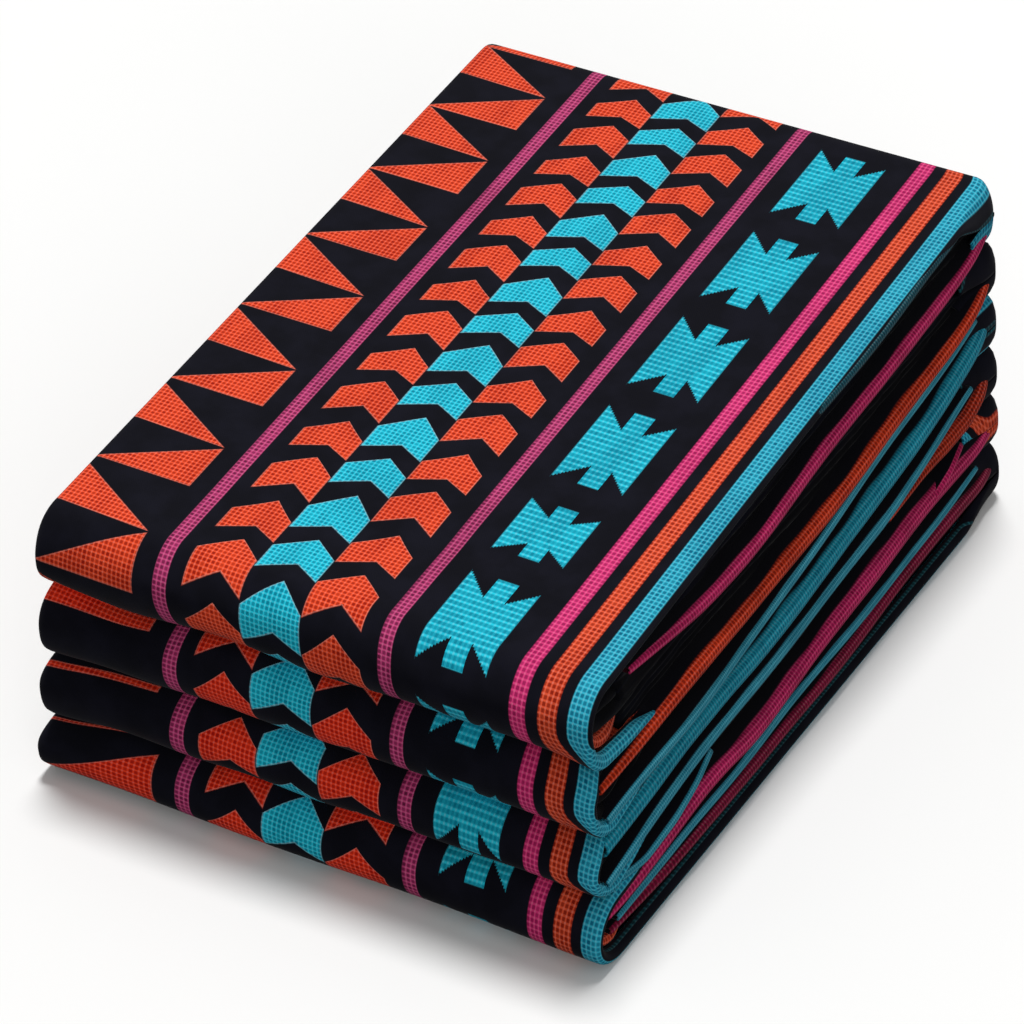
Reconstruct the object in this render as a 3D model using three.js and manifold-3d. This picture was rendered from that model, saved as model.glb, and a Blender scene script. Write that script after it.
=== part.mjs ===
// A long woven cloth, folded lengthwise in four and then to and fro into a thick pile.
//
// Millimetres, +Z up. X runs along the folds, from the lengthwise folds on the left to the open
// borders on the right. Y runs from the rounded folds at the front (-Y) to the turns at the back.
// The origin is on the ground under the middle of the pile. The pile is a wedge: the turns at the
// back stand higher than the folds at the front.
//
// A height in the pile is given as a share from the top: 0 is the top panel, 1 is the ground.

import * as THREE from 'three';
import { mergeVertices } from 'three/addons/utils/BufferGeometryUtils.js';
import Module from 'manifold-3d';

const wasm = await Module();
wasm.setup();

// ---------------------------------------------------------------- driving dimensions

const CLOTH = { wall: 2, gap: 0.3 };

const PILE = {
  width: 298,        // over the widest fold, at the ground
  depth: 423,
  frontHeight: 142,
  backHeight: 184,
  lean: 8,           // how far the right side stands out at the ground
};

const LEFT = -PILE.width / 2;
const RIGHT = PILE.width / 2 - PILE.lean;
const FRONT = -PILE.depth / 2;
const BACK = PILE.depth / 2;

const FRONT_LEGS = 60;     // how far the front folds reach into the pile
const BACK_LEGS = 24;      // the same for the turns at the back
const NOSE = { front: 20, back: 15 };   // depth of a fold's rounded end
const BORDER_DEPTH = 9;    // how far the borders stand out of the hidden layers
const ROUND = { left: 6, right: 6 };    // radius of a fold's closed end
const LIP = 6;             // turned edge of the top and base panels on the left
const RIM = 3;             // how far a nested fold's edge lies behind its outer one
const BITE = 5;            // how far a cutting solid passes through what it cuts

// Folds at the front. nose: top and bottom of the rounded end; legs: the same where it goes into
// the pile; back: its place behind the foremost fold.
const FRONT_FOLDS = [
  { name: 'top_stretch', nose: [0, 0.278], legs: [0, 0.318], back: 0 },
  { name: 'front_fold_2', nose: [0.28, 0.52], legs: [0.335, 0.48], back: 1.5 },
  { name: 'front_fold_3', nose: [0.52, 0.745], legs: [0.50, 0.70], back: 2 },
  { name: 'base_stretch', nose: [0.747, 1], legs: [0.742, 1], back: 4 },
];

// Turns at the back: shares of the height there, and their place ahead of the hindmost one.
const BACK_TURNS = [
  { name: 'top_stretch', top: 0, bottom: 0.189, ahead: 2 },
  { name: 'back_turn_2', top: 0.19, bottom: 0.357, ahead: 0 },
  { name: 'back_turn_3', top: 0.357, bottom: 0.524, ahead: 2.5 },
  { name: 'back_turn_4', top: 0.524, bottom: 0.68, ahead: 1 },
  { name: 'back_turn_5', top: 0.68, bottom: 0.833, ahead: 0 },
  { name: 'base_stretch', top: 0.834, bottom: 1, ahead: 1.5 },
];

// Turned borders on the right: hollow ridges. front and back: top and bottom at each end;
// start: distance from the front edge.
const BORDERS = [
  { name: 'border_magenta_upper', colour: 0xe02a78, front: [0.165, 0.215], back: [0.173, 0.245], start: 34 },
  { name: 'border_orange', colour: 0xf05a28, front: [0.39, 0.45], back: [0.327, 0.408], start: 24 },
  { name: 'border_turquoise', colour: 0x1fc3d8, front: [0.575, 0.645], back: [0.526, 0.60], start: 24 },
  { name: 'border_magenta_lower', colour: 0xc02560, front: [0.82, 0.88], back: [0.755, 0.824], start: 24 },
];

// Single edges on the right: thin strips, one wall thick, centred on the given shares.
const SELVEDGES = [
  { name: 'selvedge_1', colour: 0x2a6f78, front: 0.075, back: 0.062, start: 30 },
  { name: 'selvedge_2', colour: 0x1fb2c8, front: 0.462, back: 0.46, start: FRONT_LEGS + 1 },
  { name: 'selvedge_3', colour: 0x4c9aa4, front: 0.68, back: 0.665, start: FRONT_LEGS + 1 },
  { name: 'selvedge_4', colour: 0x1fb2c8, front: 0.905, back: 0.882, start: 40 },
  { name: 'border_base', colour: 0x8a1c50, front: 0.938, back: 0.938, start: 36 },
];

const LEFT_FOLDS = 8;

const GROUND_COLOUR = 0x14151f;
const INNER_COLOUR = 0xd8431c;

// ---------------------------------------------------------------- the pile's own frame

const pileHeight = (y) => THREE.MathUtils.mapLinear(y, FRONT, BACK, PILE.frontHeight, PILE.backHeight);

/** Height above the ground of a share, at the depth y. */
const level = (share, y) => (1 - share) * pileHeight(y);

/** The pile settles outwards to the right, most at the ground. */
function settle(x, y, z) {
  const share = 1 - z / pileHeight(y);
  const across = (x - LEFT) / (RIGHT - LEFT);
  return x + PILE.lean * share * across;
}

// ---------------------------------------------------------------- solids

/** A closed geometry through rings of equal length, with its two ends capped. */
function loftGeometry(rings, flatten) {
  const count = rings[0].length;
  const positions = rings.flat().flatMap((p) => [p.x, p.y, p.z]);
  const indices = [];
  for (let r = 0; r + 1 < rings.length; r += 1) {
    for (let i = 0; i < count; i += 1) {
      const j = (i + 1) % count;
      const a = r * count + i;
      const b = r * count + j;
      indices.push(a, b, a + count, b, b + count, a + count);
    }
  }
  const outline = rings[0].map(flatten);
  const clockwise = THREE.ShapeUtils.isClockWise(outline);
  const last = (rings.length - 1) * count;
  for (const face of THREE.ShapeUtils.triangulateShape(outline, [])) {
    const [a, b, c] = clockwise ? face.toReversed() : face;
    indices.push(c, b, a, last + a, last + b, last + c);
  }
  const geometry = new THREE.BufferGeometry();
  geometry.setAttribute('position', new THREE.Float32BufferAttribute(positions, 3));
  geometry.setIndex(indices);
  return geometry;
}

/** Six times the signed volume: its sign tells which way the faces point. */
function signedVolume(geometry) {
  const position = geometry.getAttribute('position');
  const index = geometry.getIndex();
  const [a, b, c] = [new THREE.Vector3(), new THREE.Vector3(), new THREE.Vector3()];
  let sum = 0;
  for (let i = 0; i < index.count; i += 3) {
    a.fromBufferAttribute(position, index.getX(i));
    b.fromBufferAttribute(position, index.getX(i + 1));
    c.fromBufferAttribute(position, index.getX(i + 2));
    sum += a.dot(b.cross(c));
  }
  return sum;
}

function toSolid(geometry) {
  const merged = mergeVertices(geometry);
  const order = [...merged.getIndex().array];
  if (signedVolume(merged) < 0) order.reverse();
  return new wasm.Manifold(new wasm.Mesh({
    numProp: 3,
    vertProperties: Float32Array.from(merged.getAttribute('position').array),
    triVerts: Uint32Array.from(order),
  }));
}

/** A finished mesh, settled into the pile's lean. */
function toMesh(name, solid, colour) {
  const data = solid.getMesh();
  const positions = Float32Array.from(data.vertProperties);
  for (let i = 0; i < positions.length; i += 3) {
    positions[i] = settle(positions[i], positions[i + 1], positions[i + 2]);
  }
  const geometry = new THREE.BufferGeometry();
  geometry.setAttribute('position', new THREE.BufferAttribute(positions, 3));
  geometry.setIndex(new THREE.BufferAttribute(Uint32Array.from(data.triVerts), 1));
  geometry.computeVertexNormals();
  const material = new THREE.MeshStandardMaterial({ color: colour, roughness: 0.85, metalness: 0 });
  const mesh = new THREE.Mesh(geometry, material);
  mesh.name = name;
  return mesh;
}

/** A six-sided block between two depths, with its own floor and ceiling at each. */
function block({ x, y, floor, ceiling }) {
  const ring = (i) => [
    new THREE.Vector3(x[0], y[i], floor[i]),
    new THREE.Vector3(x[1], y[i], floor[i]),
    new THREE.Vector3(x[1], y[i], ceiling[i]),
    new THREE.Vector3(x[0], y[i], ceiling[i]),
  ];
  return toSolid(loftGeometry([ring(0), ring(1)], (p) => new THREE.Vector2(p.x, p.z)));
}

const NOSE_STEPS = 10;

/** Shares of a front fold's top and bottom at the depth y. */
const foldShares = (fold) => (y) => [0, 1].map((k) => THREE.MathUtils.mapLinear(
  y, FRONT + NOSE.front, FRONT + FRONT_LEGS, fold.nose[k], fold.legs[k],
));

/** The same for a turn at the back, where they don't change. */
const turnShares = (turn) => () => [turn.top, turn.bottom];

/** Points of one rounded end, from its top round to its bottom. sign: -1 front, +1 back. */
function noseArc({ tip, depth, sign, shares, inset, squeeze }) {
  const centre = tip - sign * depth;
  const [top, bottom] = shares(centre).map((share) => level(share, centre));
  const middle = (top + bottom) / 2;
  const half = ((top - bottom) / 2 - inset) * squeeze;
  const points = [];
  for (let i = 0; i <= NOSE_STEPS; i += 1) {
    const angle = Math.PI * (0.5 - i / NOSE_STEPS);
    const y = centre + sign * (depth - inset) * Math.cos(angle) * squeeze;
    points.push([y, middle + half * Math.sin(angle)]);
  }
  return points;
}

/** Top and bottom point of a fold where its legs end. */
function legEnd(y, { shares, inset, squeeze }) {
  const [top, bottom] = shares(y).map((share) => level(share, y));
  const middle = (top + bottom) / 2;
  const half = ((top - bottom) / 2 - inset) * squeeze;
  return [[y, middle + half], [y, middle - half]];
}

const frontForm = (fold, inset, squeeze) => ({
  tip: FRONT + fold.back, depth: NOSE.front, sign: -1, shares: foldShares(fold), inset, squeeze,
});

const backForm = (turn, inset, squeeze) => ({
  tip: BACK - turn.ahead, depth: NOSE.back, sign: 1, shares: turnShares(turn), inset, squeeze,
});

/** Outline in the YZ plane of a front fold: its rounded end and its two legs. */
function frontOutline(fold, inset, squeeze, legs) {
  const form = frontForm(fold, inset, squeeze);
  const [top, bottom] = legEnd(FRONT + legs, form);
  return [...noseArc(form), bottom, top];
}

/** The same for a turn at the back. */
function backOutline(turn, inset, squeeze, legs) {
  const form = backForm(turn, inset, squeeze);
  const [top, bottom] = legEnd(BACK - legs, form);
  return [...noseArc(form), bottom, top];
}

/** Outline of a panel that runs from a front fold to a turn at the back, which alone is rounded
 * on the right. */
function panelOutline(fold, turn, inset, squeeze, onRight) {
  const front = frontForm(fold, inset, onRight ? 1 : squeeze);
  const back = backForm(turn, inset, squeeze);
  const [frontTop, frontBottom] = legEnd(FRONT + FRONT_LEGS, front);
  const shoulder = { ...back, squeeze: front.squeeze };
  const [shoulderTop, shoulderBottom] = legEnd(BACK - BACK_LEGS - ROUND.right, shoulder);
  const [backTop, backBottom] = legEnd(BACK - BACK_LEGS, back);
  return [
    ...noseArc(front), frontBottom, shoulderBottom, backBottom,
    ...noseArc(back).reverse(), backTop, shoulderTop, frontTop,
  ];
}

const ROUND_STEPS = 3;
const END_SQUEEZE = 0.45;   // what is left of a fold's section at a closed end

/** Runs an outline along X, from a left to a right end. A round is the radius of a closed end, and
 * 0 where the end is cut square. */
function alongFold(outline, [x0, x1], [roundLeft, roundRight]) {
  const stations = [];
  const squeezeAt = (angle) => END_SQUEEZE + (1 - END_SQUEEZE) * Math.sin(angle);
  if (roundLeft > 0) {
    for (let i = 0; i < ROUND_STEPS; i += 1) {
      const angle = (Math.PI / 2) * (i / ROUND_STEPS);
      stations.push([x0 + roundLeft * (1 - Math.cos(angle)), squeezeAt(angle), false]);
    }
  }
  stations.push([x0 + roundLeft, 1, false], [x1 - roundRight, 1, true]);
  if (roundRight > 0) {
    for (let i = ROUND_STEPS - 1; i >= 0; i -= 1) {
      const angle = (Math.PI / 2) * (i / ROUND_STEPS);
      stations.push([x1 - roundRight * (1 - Math.cos(angle)), squeezeAt(angle), true]);
    }
  }
  const rings = stations.map(([x, squeeze, onRight]) => (
    outline(squeeze, onRight).map(([y, z]) => new THREE.Vector3(x, y, z))
  ));
  return toSolid(loftGeometry(rings, (p) => new THREE.Vector2(p.y, p.z)));
}

const seam = CLOTH.gap / 2;              // each fold keeps half the gap to its neighbour
const lining = CLOTH.wall + seam;        // outside of what lies in a fold, less its own gap

// ---------------------------------------------------------------- stretches of cloth

/** A front fold: a wall with its left end closed and its right end open. inset nests it. */
function frontFold(fold, inset = seam, rim = 0) {
  const x = [LEFT + inset - seam, RIGHT - rim];
  const outer = alongFold((s) => frontOutline(fold, inset, s, FRONT_LEGS), x, [ROUND.left, 0]);
  const inner = alongFold(
    (s) => frontOutline(fold, inset + CLOTH.wall, s, FRONT_LEGS + BITE),
    [x[0] + CLOTH.wall, RIGHT + BITE],
    [ROUND.left, 0],
  );
  return outer.subtract(inner);
}

/** A turn at the back: a wall closed at both its ends. */
function backTurn(turn) {
  const rounds = [ROUND.left, ROUND.right];
  const outer = alongFold((s) => backOutline(turn, seam, s, BACK_LEGS), [LEFT, RIGHT], rounds);
  const inner = alongFold(
    (s) => backOutline(turn, lining, s, BACK_LEGS + BITE),
    [LEFT + CLOTH.wall, RIGHT - CLOTH.wall],
    rounds,
  );
  return outer.subtract(inner);
}

/** The top or the base panel with its fold and its turn: edge is the panel's own share. */
function panelStretch(fold, turn, edge) {
  const x = [LEFT, RIGHT];
  const inward = edge === 0 ? -1 : 1;
  const rounds = [ROUND.left, ROUND.right];
  const outer = alongFold((s, onRight) => panelOutline(fold, turn, 0, s, onRight), x, rounds);
  const inner = alongFold(
    (s, onRight) => panelOutline(fold, turn, CLOTH.wall, s, onRight),
    [LEFT + CLOTH.wall, RIGHT - CLOTH.wall],
    rounds,
  );
  const y = [FRONT + FRONT_LEGS, BACK - BACK_LEGS];
  const lip = y.map((depth) => level(edge, depth) + inward * LIP);
  const far = y.map((depth) => level(edge === 0 ? 1 : 0, depth) - inward * BITE);
  const [floor, ceiling] = edge === 0 ? [far, lip] : [lip, far];
  const hollow = block({ x: [LEFT - BITE, RIGHT + BITE], y, floor, ceiling });
  const open = openRightEnd(fold);
  return outer.subtract(inner).subtract(hollow).subtract(open);
}

/** Cuts the right end of a panel stretch open, up to its turn at the back. */
function openRightEnd(fold) {
  const outline = () => {
    const form = frontForm(fold, CLOTH.wall, 1);
    const [top, bottom] = legEnd(FRONT + FRONT_LEGS, form);
    const end = BACK - BACK_LEGS;
    const [backTop, backBottom] = legEnd(end, { ...form, shares: () => fold.legs });
    return [...noseArc(form), bottom, backBottom, backTop, top];
  };
  return alongFold(outline, [RIGHT - ROUND.right - BITE, RIGHT + BITE], [0, 0]);
}

// ---------------------------------------------------------------- borders and lengthwise folds

const RIDGE_STEPS = 8;

/** Section in the XZ plane of a ridge that stands out of a side. sign: +1 right, -1 left. */
function ridgeRing({ y, shares, side, face, sign, inset, deeper }) {
  const top = level(shares[0], y) - inset;
  const bottom = level(shares[1], y) + inset;
  const half = (top - bottom) / 2;
  const depth = Math.min(half, BORDER_DEPTH - inset - 1);
  const centre = side - sign * (inset + depth);
  const points = [];
  for (let i = 0; i <= RIDGE_STEPS; i += 1) {
    const angle = Math.PI * (0.5 - i / RIDGE_STEPS);
    points.push(new THREE.Vector3(
      centre + sign * depth * Math.cos(angle), y, (top + bottom) / 2 + half * Math.sin(angle),
    ));
  }
  const inner = face - sign * deeper;
  points.push(new THREE.Vector3(inner, y, bottom), new THREE.Vector3(inner, y, top));
  return points;
}

/** Runs a ridge's section from one depth to another. */
function ridgeSolid({ from, to, front, back, ...section }) {
  const rings = [from, to].map((y) => {
    const along = THREE.MathUtils.inverseLerp(FRONT, BACK, y);
    const shares = [0, 1].map((k) => THREE.MathUtils.lerp(front[k], back[k], along));
    return ridgeRing({ y, shares, ...section });
  });
  return toSolid(loftGeometry(rings, (p) => new THREE.Vector2(p.x, p.z)));
}

/** The hollow wall of a ridge, and the rib of hidden layers that fills it. */
function ridge({ front, back, from, to, side, sign }) {
  const face = side - sign * BORDER_DEPTH;
  const span = { front, back, side, face, sign };
  const outer = ridgeSolid({ ...span, from, to, inset: 0, deeper: -CLOTH.gap });
  const hollow = ridgeSolid({
    ...span, from: from - BITE, to: to + BITE, inset: CLOTH.wall, deeper: BITE,
  });
  const rib = ridgeSolid({ ...span, from, to, inset: CLOTH.wall + CLOTH.gap, deeper: BITE });
  return { wall: outer.subtract(hollow), rib };
}

/** A single edge: a strip one wall thick. */
function strip({ front, back, start }) {
  const y = [FRONT + start, BACK - BACK_LEGS - CLOTH.gap];
  const centre = y.map((depth) => {
    const along = THREE.MathUtils.inverseLerp(FRONT, BACK, depth);
    return level(THREE.MathUtils.lerp(front, back, along), depth);
  });
  return block({
    x: [RIGHT - BORDER_DEPTH + CLOTH.gap, RIGHT],
    y,
    floor: centre.map((z) => z - CLOTH.wall / 2),
    ceiling: centre.map((z) => z + CLOTH.wall / 2),
  });
}

// ---------------------------------------------------------------- hidden layers

/** Everything that no stretch shows: lobes in the folds and turns, joined by one block. */
function hiddenLayers(ribs) {
  const face = RIGHT - BORDER_DEPTH;
  const overlap = 10;
  let solid = block({
    x: [LEFT + BORDER_DEPTH, face],
    y: [FRONT + FRONT_LEGS + CLOTH.gap, BACK - BACK_LEGS - CLOTH.gap],
    floor: [CLOTH.wall + CLOTH.gap, CLOTH.wall + CLOTH.gap],
    ceiling: [FRONT + FRONT_LEGS + CLOTH.gap, BACK - BACK_LEGS - CLOTH.gap].map(
      (y) => level(0, y) - CLOTH.wall - CLOTH.gap,
    ),
  });
  const rounds = [ROUND.left, ROUND.right];
  const tongueX = (inset) => [Math.max(LEFT + BORDER_DEPTH, LEFT + inset + ROUND.left), face];
  FRONT_FOLDS.forEach((fold, i) => {
    const nested = i === 0 || i === FRONT_FOLDS.length - 1;
    const inset = nested ? 2 * (CLOTH.wall + CLOTH.gap) : lining + CLOTH.gap;
    const outline = (legs) => (s) => frontOutline(fold, inset, s, legs);
    const lobe = alongFold(outline(FRONT_LEGS + seam), [LEFT + inset, face], [ROUND.left, 0]);
    const tongue = alongFold(outline(FRONT_LEGS + overlap), tongueX(inset), [0, 0]);
    solid = solid.add(lobe).add(tongue);
  });
  BACK_TURNS.forEach((turn) => {
    const inset = lining + CLOTH.gap;
    const outline = (legs) => (s) => backOutline(turn, inset, s, legs);
    const lobe = alongFold(outline(BACK_LEGS), [LEFT + inset, RIGHT - inset], rounds);
    const tongue = alongFold(outline(BACK_LEGS + overlap), tongueX(inset), [0, 0]);
    solid = solid.add(lobe).add(tongue);
  });
  return ribs.reduce((sum, rib) => sum.add(rib), solid);
}

// ---------------------------------------------------------------- assembly

const cloth = new THREE.Group();
const ribs = [];
const [topFold, secondFold, thirdFold, baseFold] = FRONT_FOLDS;
const lastTurn = BACK_TURNS.length - 1;

cloth.add(toMesh('top_stretch', panelStretch(topFold, BACK_TURNS[0], 0), GROUND_COLOUR));
cloth.add(toMesh('base_stretch', panelStretch(baseFold, BACK_TURNS[lastTurn], 1), GROUND_COLOUR));
cloth.add(toMesh('front_fold_2', frontFold(secondFold), GROUND_COLOUR));
cloth.add(toMesh('front_fold_3', frontFold(thirdFold), GROUND_COLOUR));
cloth.add(toMesh('inner_fold_1', frontFold(topFold, CLOTH.wall + CLOTH.gap, RIM), INNER_COLOUR));
cloth.add(toMesh('inner_fold_4', frontFold(baseFold, CLOTH.wall + CLOTH.gap, RIM), INNER_COLOUR));

for (const turn of BACK_TURNS.slice(1, lastTurn)) {
  cloth.add(toMesh(turn.name, backTurn(turn), GROUND_COLOUR));
}

for (const { name, colour, front, back, start } of BORDERS) {
  const from = FRONT + start;
  const to = BACK - BACK_LEGS - CLOTH.gap;
  const { wall, rib } = ridge({ front, back, from, to, side: RIGHT, sign: 1 });
  ribs.push(rib);
  cloth.add(toMesh(name, wall, colour));
}

for (const selvedge of SELVEDGES) {
  cloth.add(toMesh(selvedge.name, strip(selvedge), selvedge.colour));
}

/** Share of the height that a distance from the top or the ground takes at each end. */
const lipShare = (height) => (LIP + CLOTH.gap) / height;
for (let i = 0; i < LEFT_FOLDS; i += 1) {
  const shares = [PILE.frontHeight, PILE.backHeight].map((height) => {
    const first = lipShare(height);
    const pitch = (1 - 2 * first) / LEFT_FOLDS;
    const spare = CLOTH.gap / 2 / height;
    return [first + i * pitch + spare, first + (i + 1) * pitch - spare];
  });
  const from = FRONT + FRONT_LEGS + CLOTH.gap;
  const to = BACK - BACK_LEGS - CLOTH.gap;
  const { wall, rib } = ridge({
    front: shares[0], back: shares[1], from, to, side: LEFT, sign: -1,
  });
  ribs.push(rib);
  cloth.add(toMesh(`left_fold_${i + 1}`, wall, GROUND_COLOUR));
}

cloth.add(toMesh('hidden_layers', hiddenLayers(ribs), GROUND_COLOUR));

export default cloth;
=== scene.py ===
"""A long patterned cloth, folded lengthwise in four and then to and fro into a thick pile.

Metres, +Z up. X runs along the folds, from the lengthwise folds on the left to the bright borders
on the right. Y runs from the rounded folds at the front to the turns at the back. A height in the
pile is given as a share: 0 on the top panel and 1 on the ground.
"""
import logging
import math
from dataclasses import dataclass, field
from enum import Enum
from typing import Callable, Sequence

import bmesh
import bpy
import numpy as np
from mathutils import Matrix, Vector


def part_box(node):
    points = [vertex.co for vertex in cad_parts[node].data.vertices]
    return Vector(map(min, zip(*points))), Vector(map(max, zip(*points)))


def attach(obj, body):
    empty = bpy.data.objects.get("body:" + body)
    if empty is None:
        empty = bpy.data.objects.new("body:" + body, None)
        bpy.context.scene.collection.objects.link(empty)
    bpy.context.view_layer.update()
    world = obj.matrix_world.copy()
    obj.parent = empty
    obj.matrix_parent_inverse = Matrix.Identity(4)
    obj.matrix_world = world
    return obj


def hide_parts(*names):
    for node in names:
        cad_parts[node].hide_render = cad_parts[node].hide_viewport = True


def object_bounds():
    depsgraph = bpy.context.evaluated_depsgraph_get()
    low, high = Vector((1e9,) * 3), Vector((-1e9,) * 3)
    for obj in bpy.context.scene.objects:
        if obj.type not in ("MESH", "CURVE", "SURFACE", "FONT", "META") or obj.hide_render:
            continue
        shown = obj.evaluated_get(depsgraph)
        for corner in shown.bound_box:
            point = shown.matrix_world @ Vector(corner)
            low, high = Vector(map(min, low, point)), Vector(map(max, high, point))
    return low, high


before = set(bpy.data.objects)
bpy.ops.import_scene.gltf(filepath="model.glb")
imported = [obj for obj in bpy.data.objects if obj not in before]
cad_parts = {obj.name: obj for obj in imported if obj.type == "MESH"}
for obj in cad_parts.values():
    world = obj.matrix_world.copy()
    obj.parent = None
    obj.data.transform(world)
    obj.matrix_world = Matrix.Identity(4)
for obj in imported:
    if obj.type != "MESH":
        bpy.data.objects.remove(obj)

CAD_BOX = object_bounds()
LOG = logging.getLogger("folded_cloth")
MM = 0.001
SAME_PLACE = 0.001 * MM
BODY = "root"


# ------------------------------------------------------------------ small helpers

def ramp(values: np.ndarray | float, start: float, end: float) -> np.ndarray:
    """Rises smoothly from 0 to 1 between start and end.

    Args:
        values: the numbers to look up.
        start: where the result is 0.
        end: where it is 1. It may lie below start, and the ramp then falls.

    Returns:
        The smooth ramp at each value.
    """
    t = np.clip((np.asarray(values, dtype=float) - start) / (end - start), 0.0, 1.0)
    return t * t * (3.0 - 2.0 * t)


def bump(values: np.ndarray, middle: float, reach: float) -> np.ndarray:
    """A soft hump of height 1 round a middle, gone at about twice its reach."""
    return np.exp(-(((values - middle) / reach) ** 2))


def stations(values: np.ndarray, places: Sequence[float], sizes: Sequence[float]) -> np.ndarray:
    """Reads a short table smoothly, with no kink at its rows.

    Args:
        values: where it is read.
        places: rising places of the rows.
        sizes: the size at each row.

    Returns:
        The size at each value.
    """
    steps, reach = 160, 12
    fine = np.linspace(places[0], places[-1], steps)
    rough = np.interp(fine, places, sizes)
    kernel = np.hanning(2 * reach + 1)
    padded = np.pad(rough, reach, mode="reflect", reflect_type="odd")
    soft = np.convolve(padded, kernel / kernel.sum(), mode="valid")
    return np.interp(values, fine, soft)


def sway(y: np.ndarray, size: float, rate: float, phase: float = 0.0) -> np.ndarray:
    """A gentle wave along the pile, of a size, a rate in radians a metre, and a phase."""
    return size * np.sin(y * rate + phase)


def linear(red: int, green: int, blue: int) -> tuple[float, float, float, float]:
    """Makes a colour that is given as it looks on screen linear, as shaders take it.

    Args:
        red: its red, 0 to 255.
        green: its green.
        blue: its blue.

    Returns:
        The linear colour, with an alpha of 1.
    """
    def channel(value: int) -> float:
        """One channel, made linear."""
        part = value / 255
        return part / 12.92 if part <= 0.04045 else ((part + 0.055) / 1.055) ** 2.4

    return channel(red), channel(green), channel(blue), 1.0


# ------------------------------------------------------------------ the pile's own frame

@dataclass(frozen=True)
class Dip:
    """A place where a crease between two front folds sags or lifts."""

    x: float
    reach: float
    drop: float


@dataclass(frozen=True)
class Crease:
    """The line between two front folds, by its share of the height, and its uneven run."""

    share: float
    dips: tuple[Dip, ...]


@dataclass(frozen=True)
class Pile:
    """The space that the folded cloth fills."""

    left: float
    right: float
    front: float
    back: float
    front_height: float = 143.6 * MM
    back_height: float = 184.6 * MM
    lean: float = 14.8 * MM
    forward: float = 13.3 * MM
    front_proud: float = 3.2 * MM
    back_proud: float = 7 * MM
    corners: tuple[float, float] = (13 * MM, 15 * MM)    # radii of the back corners, seen from above
    corner_pull: tuple[float, float] = (0.75, 0.55)    # how round they are on top, and less below it
    uneven_reach: tuple[float, float] = (95 * MM, 10 * MM)
    crease_belt: float = 0.075
    swell: float = 1.1 * MM
    creases: tuple[Crease, ...] = ()

    def height(self, y: np.ndarray | float) -> np.ndarray | float:
        """Height of the pile at a depth."""
        slope = (self.back_height - self.front_height) / (self.back - self.front)
        return self.front_height + (y - self.front) * slope

    def level(self, share: np.ndarray | float, y: np.ndarray | float) -> np.ndarray | float:
        """Height above the ground of a share of the pile, at a depth."""
        return (1.0 - share) * self.height(y)

    def settle(self, points: np.ndarray) -> np.ndarray:
        """Lets points sink into the lean and the uneven creases that the whole pile has.

        Args:
            points: places in the straight pile, in an array whose last axis is x, y, z.

        Returns:
            The places in the settled pile.
        """
        x, y, z = (points[..., axis].copy() for axis in range(3))
        share = np.clip(1.0 - z / self.height(y), 0.0, 1.0)
        far, near = self.uneven_reach
        near_front = ramp(y, self.front + far, self.front + near)
        drop = np.zeros_like(z)
        for crease in self.creases:
            belt = bump(share, crease.share, self.crease_belt) * near_front
            for dip in crease.dips:
                drop += belt * dip.drop * bump(x, dip.x, dip.reach)
        across = (x - self.left) / (self.right - self.left)
        x += self.lean * share * across
        for radius, side in zip(self.corners, (-1, 1)):
            past = np.clip(y - (self.back + self.back_proud - radius), 0.0, radius * 0.98)
            pull = radius - np.sqrt(radius ** 2 - past ** 2)
            near_side = ramp(across, 0.5 + side * 0.3, 0.5 + side * 0.5)
            x -= side * pull * near_side * (
                self.corner_pull[0] - self.corner_pull[1] * ramp(share, 0.1, 0.2))
        below_top = ramp(share, 0.0, 0.12)
        swell = self.swell * np.sin(37.0 * x + 9.0 * share) * np.sin(11.0 * share + 1.3)
        y += near_front * (swell * below_top - self.forward * share)
        return np.stack([x, y, z - drop * below_top], axis=-1)


CREASES = (
    Crease(0.283, (
        Dip(-106 * MM, 34 * MM, 5.2 * MM), Dip(-50 * MM, 20 * MM, -1.4 * MM),
        Dip(8 * MM, 30 * MM, 2.2 * MM), Dip(70 * MM, 26 * MM, 1.4 * MM),
        Dip(145 * MM, 15 * MM, 4.0 * MM),
    )),
    Crease(0.539, (
        Dip(-146 * MM, 28 * MM, 3.8 * MM), Dip(-92 * MM, 26 * MM, 2.6 * MM),
        Dip(-30 * MM, 24 * MM, 0.8 * MM), Dip(104 * MM, 22 * MM, 0.5 * MM),
        Dip(145 * MM, 10 * MM, 1.4 * MM),
    )),
    Crease(0.760, (
        Dip(-146 * MM, 32 * MM, 6.6 * MM), Dip(-72 * MM, 30 * MM, 2.4 * MM),
        Dip(-4 * MM, 22 * MM, 2.2 * MM), Dip(106 * MM, 24 * MM, -1.1 * MM),
    )),
)


def read_pile() -> Pile:
    """Works the pile's space out from the frame's own box and its right border."""
    low, high = CAD_BOX
    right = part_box("selvedge_1")[1].x - 0.8 * MM
    return Pile(left=low.x - 0.3 * MM, right=right + 0.2 * MM, front=low.y, back=-low.y,
                creases=CREASES)


# ------------------------------------------------------------------ routes and sheets

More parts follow.
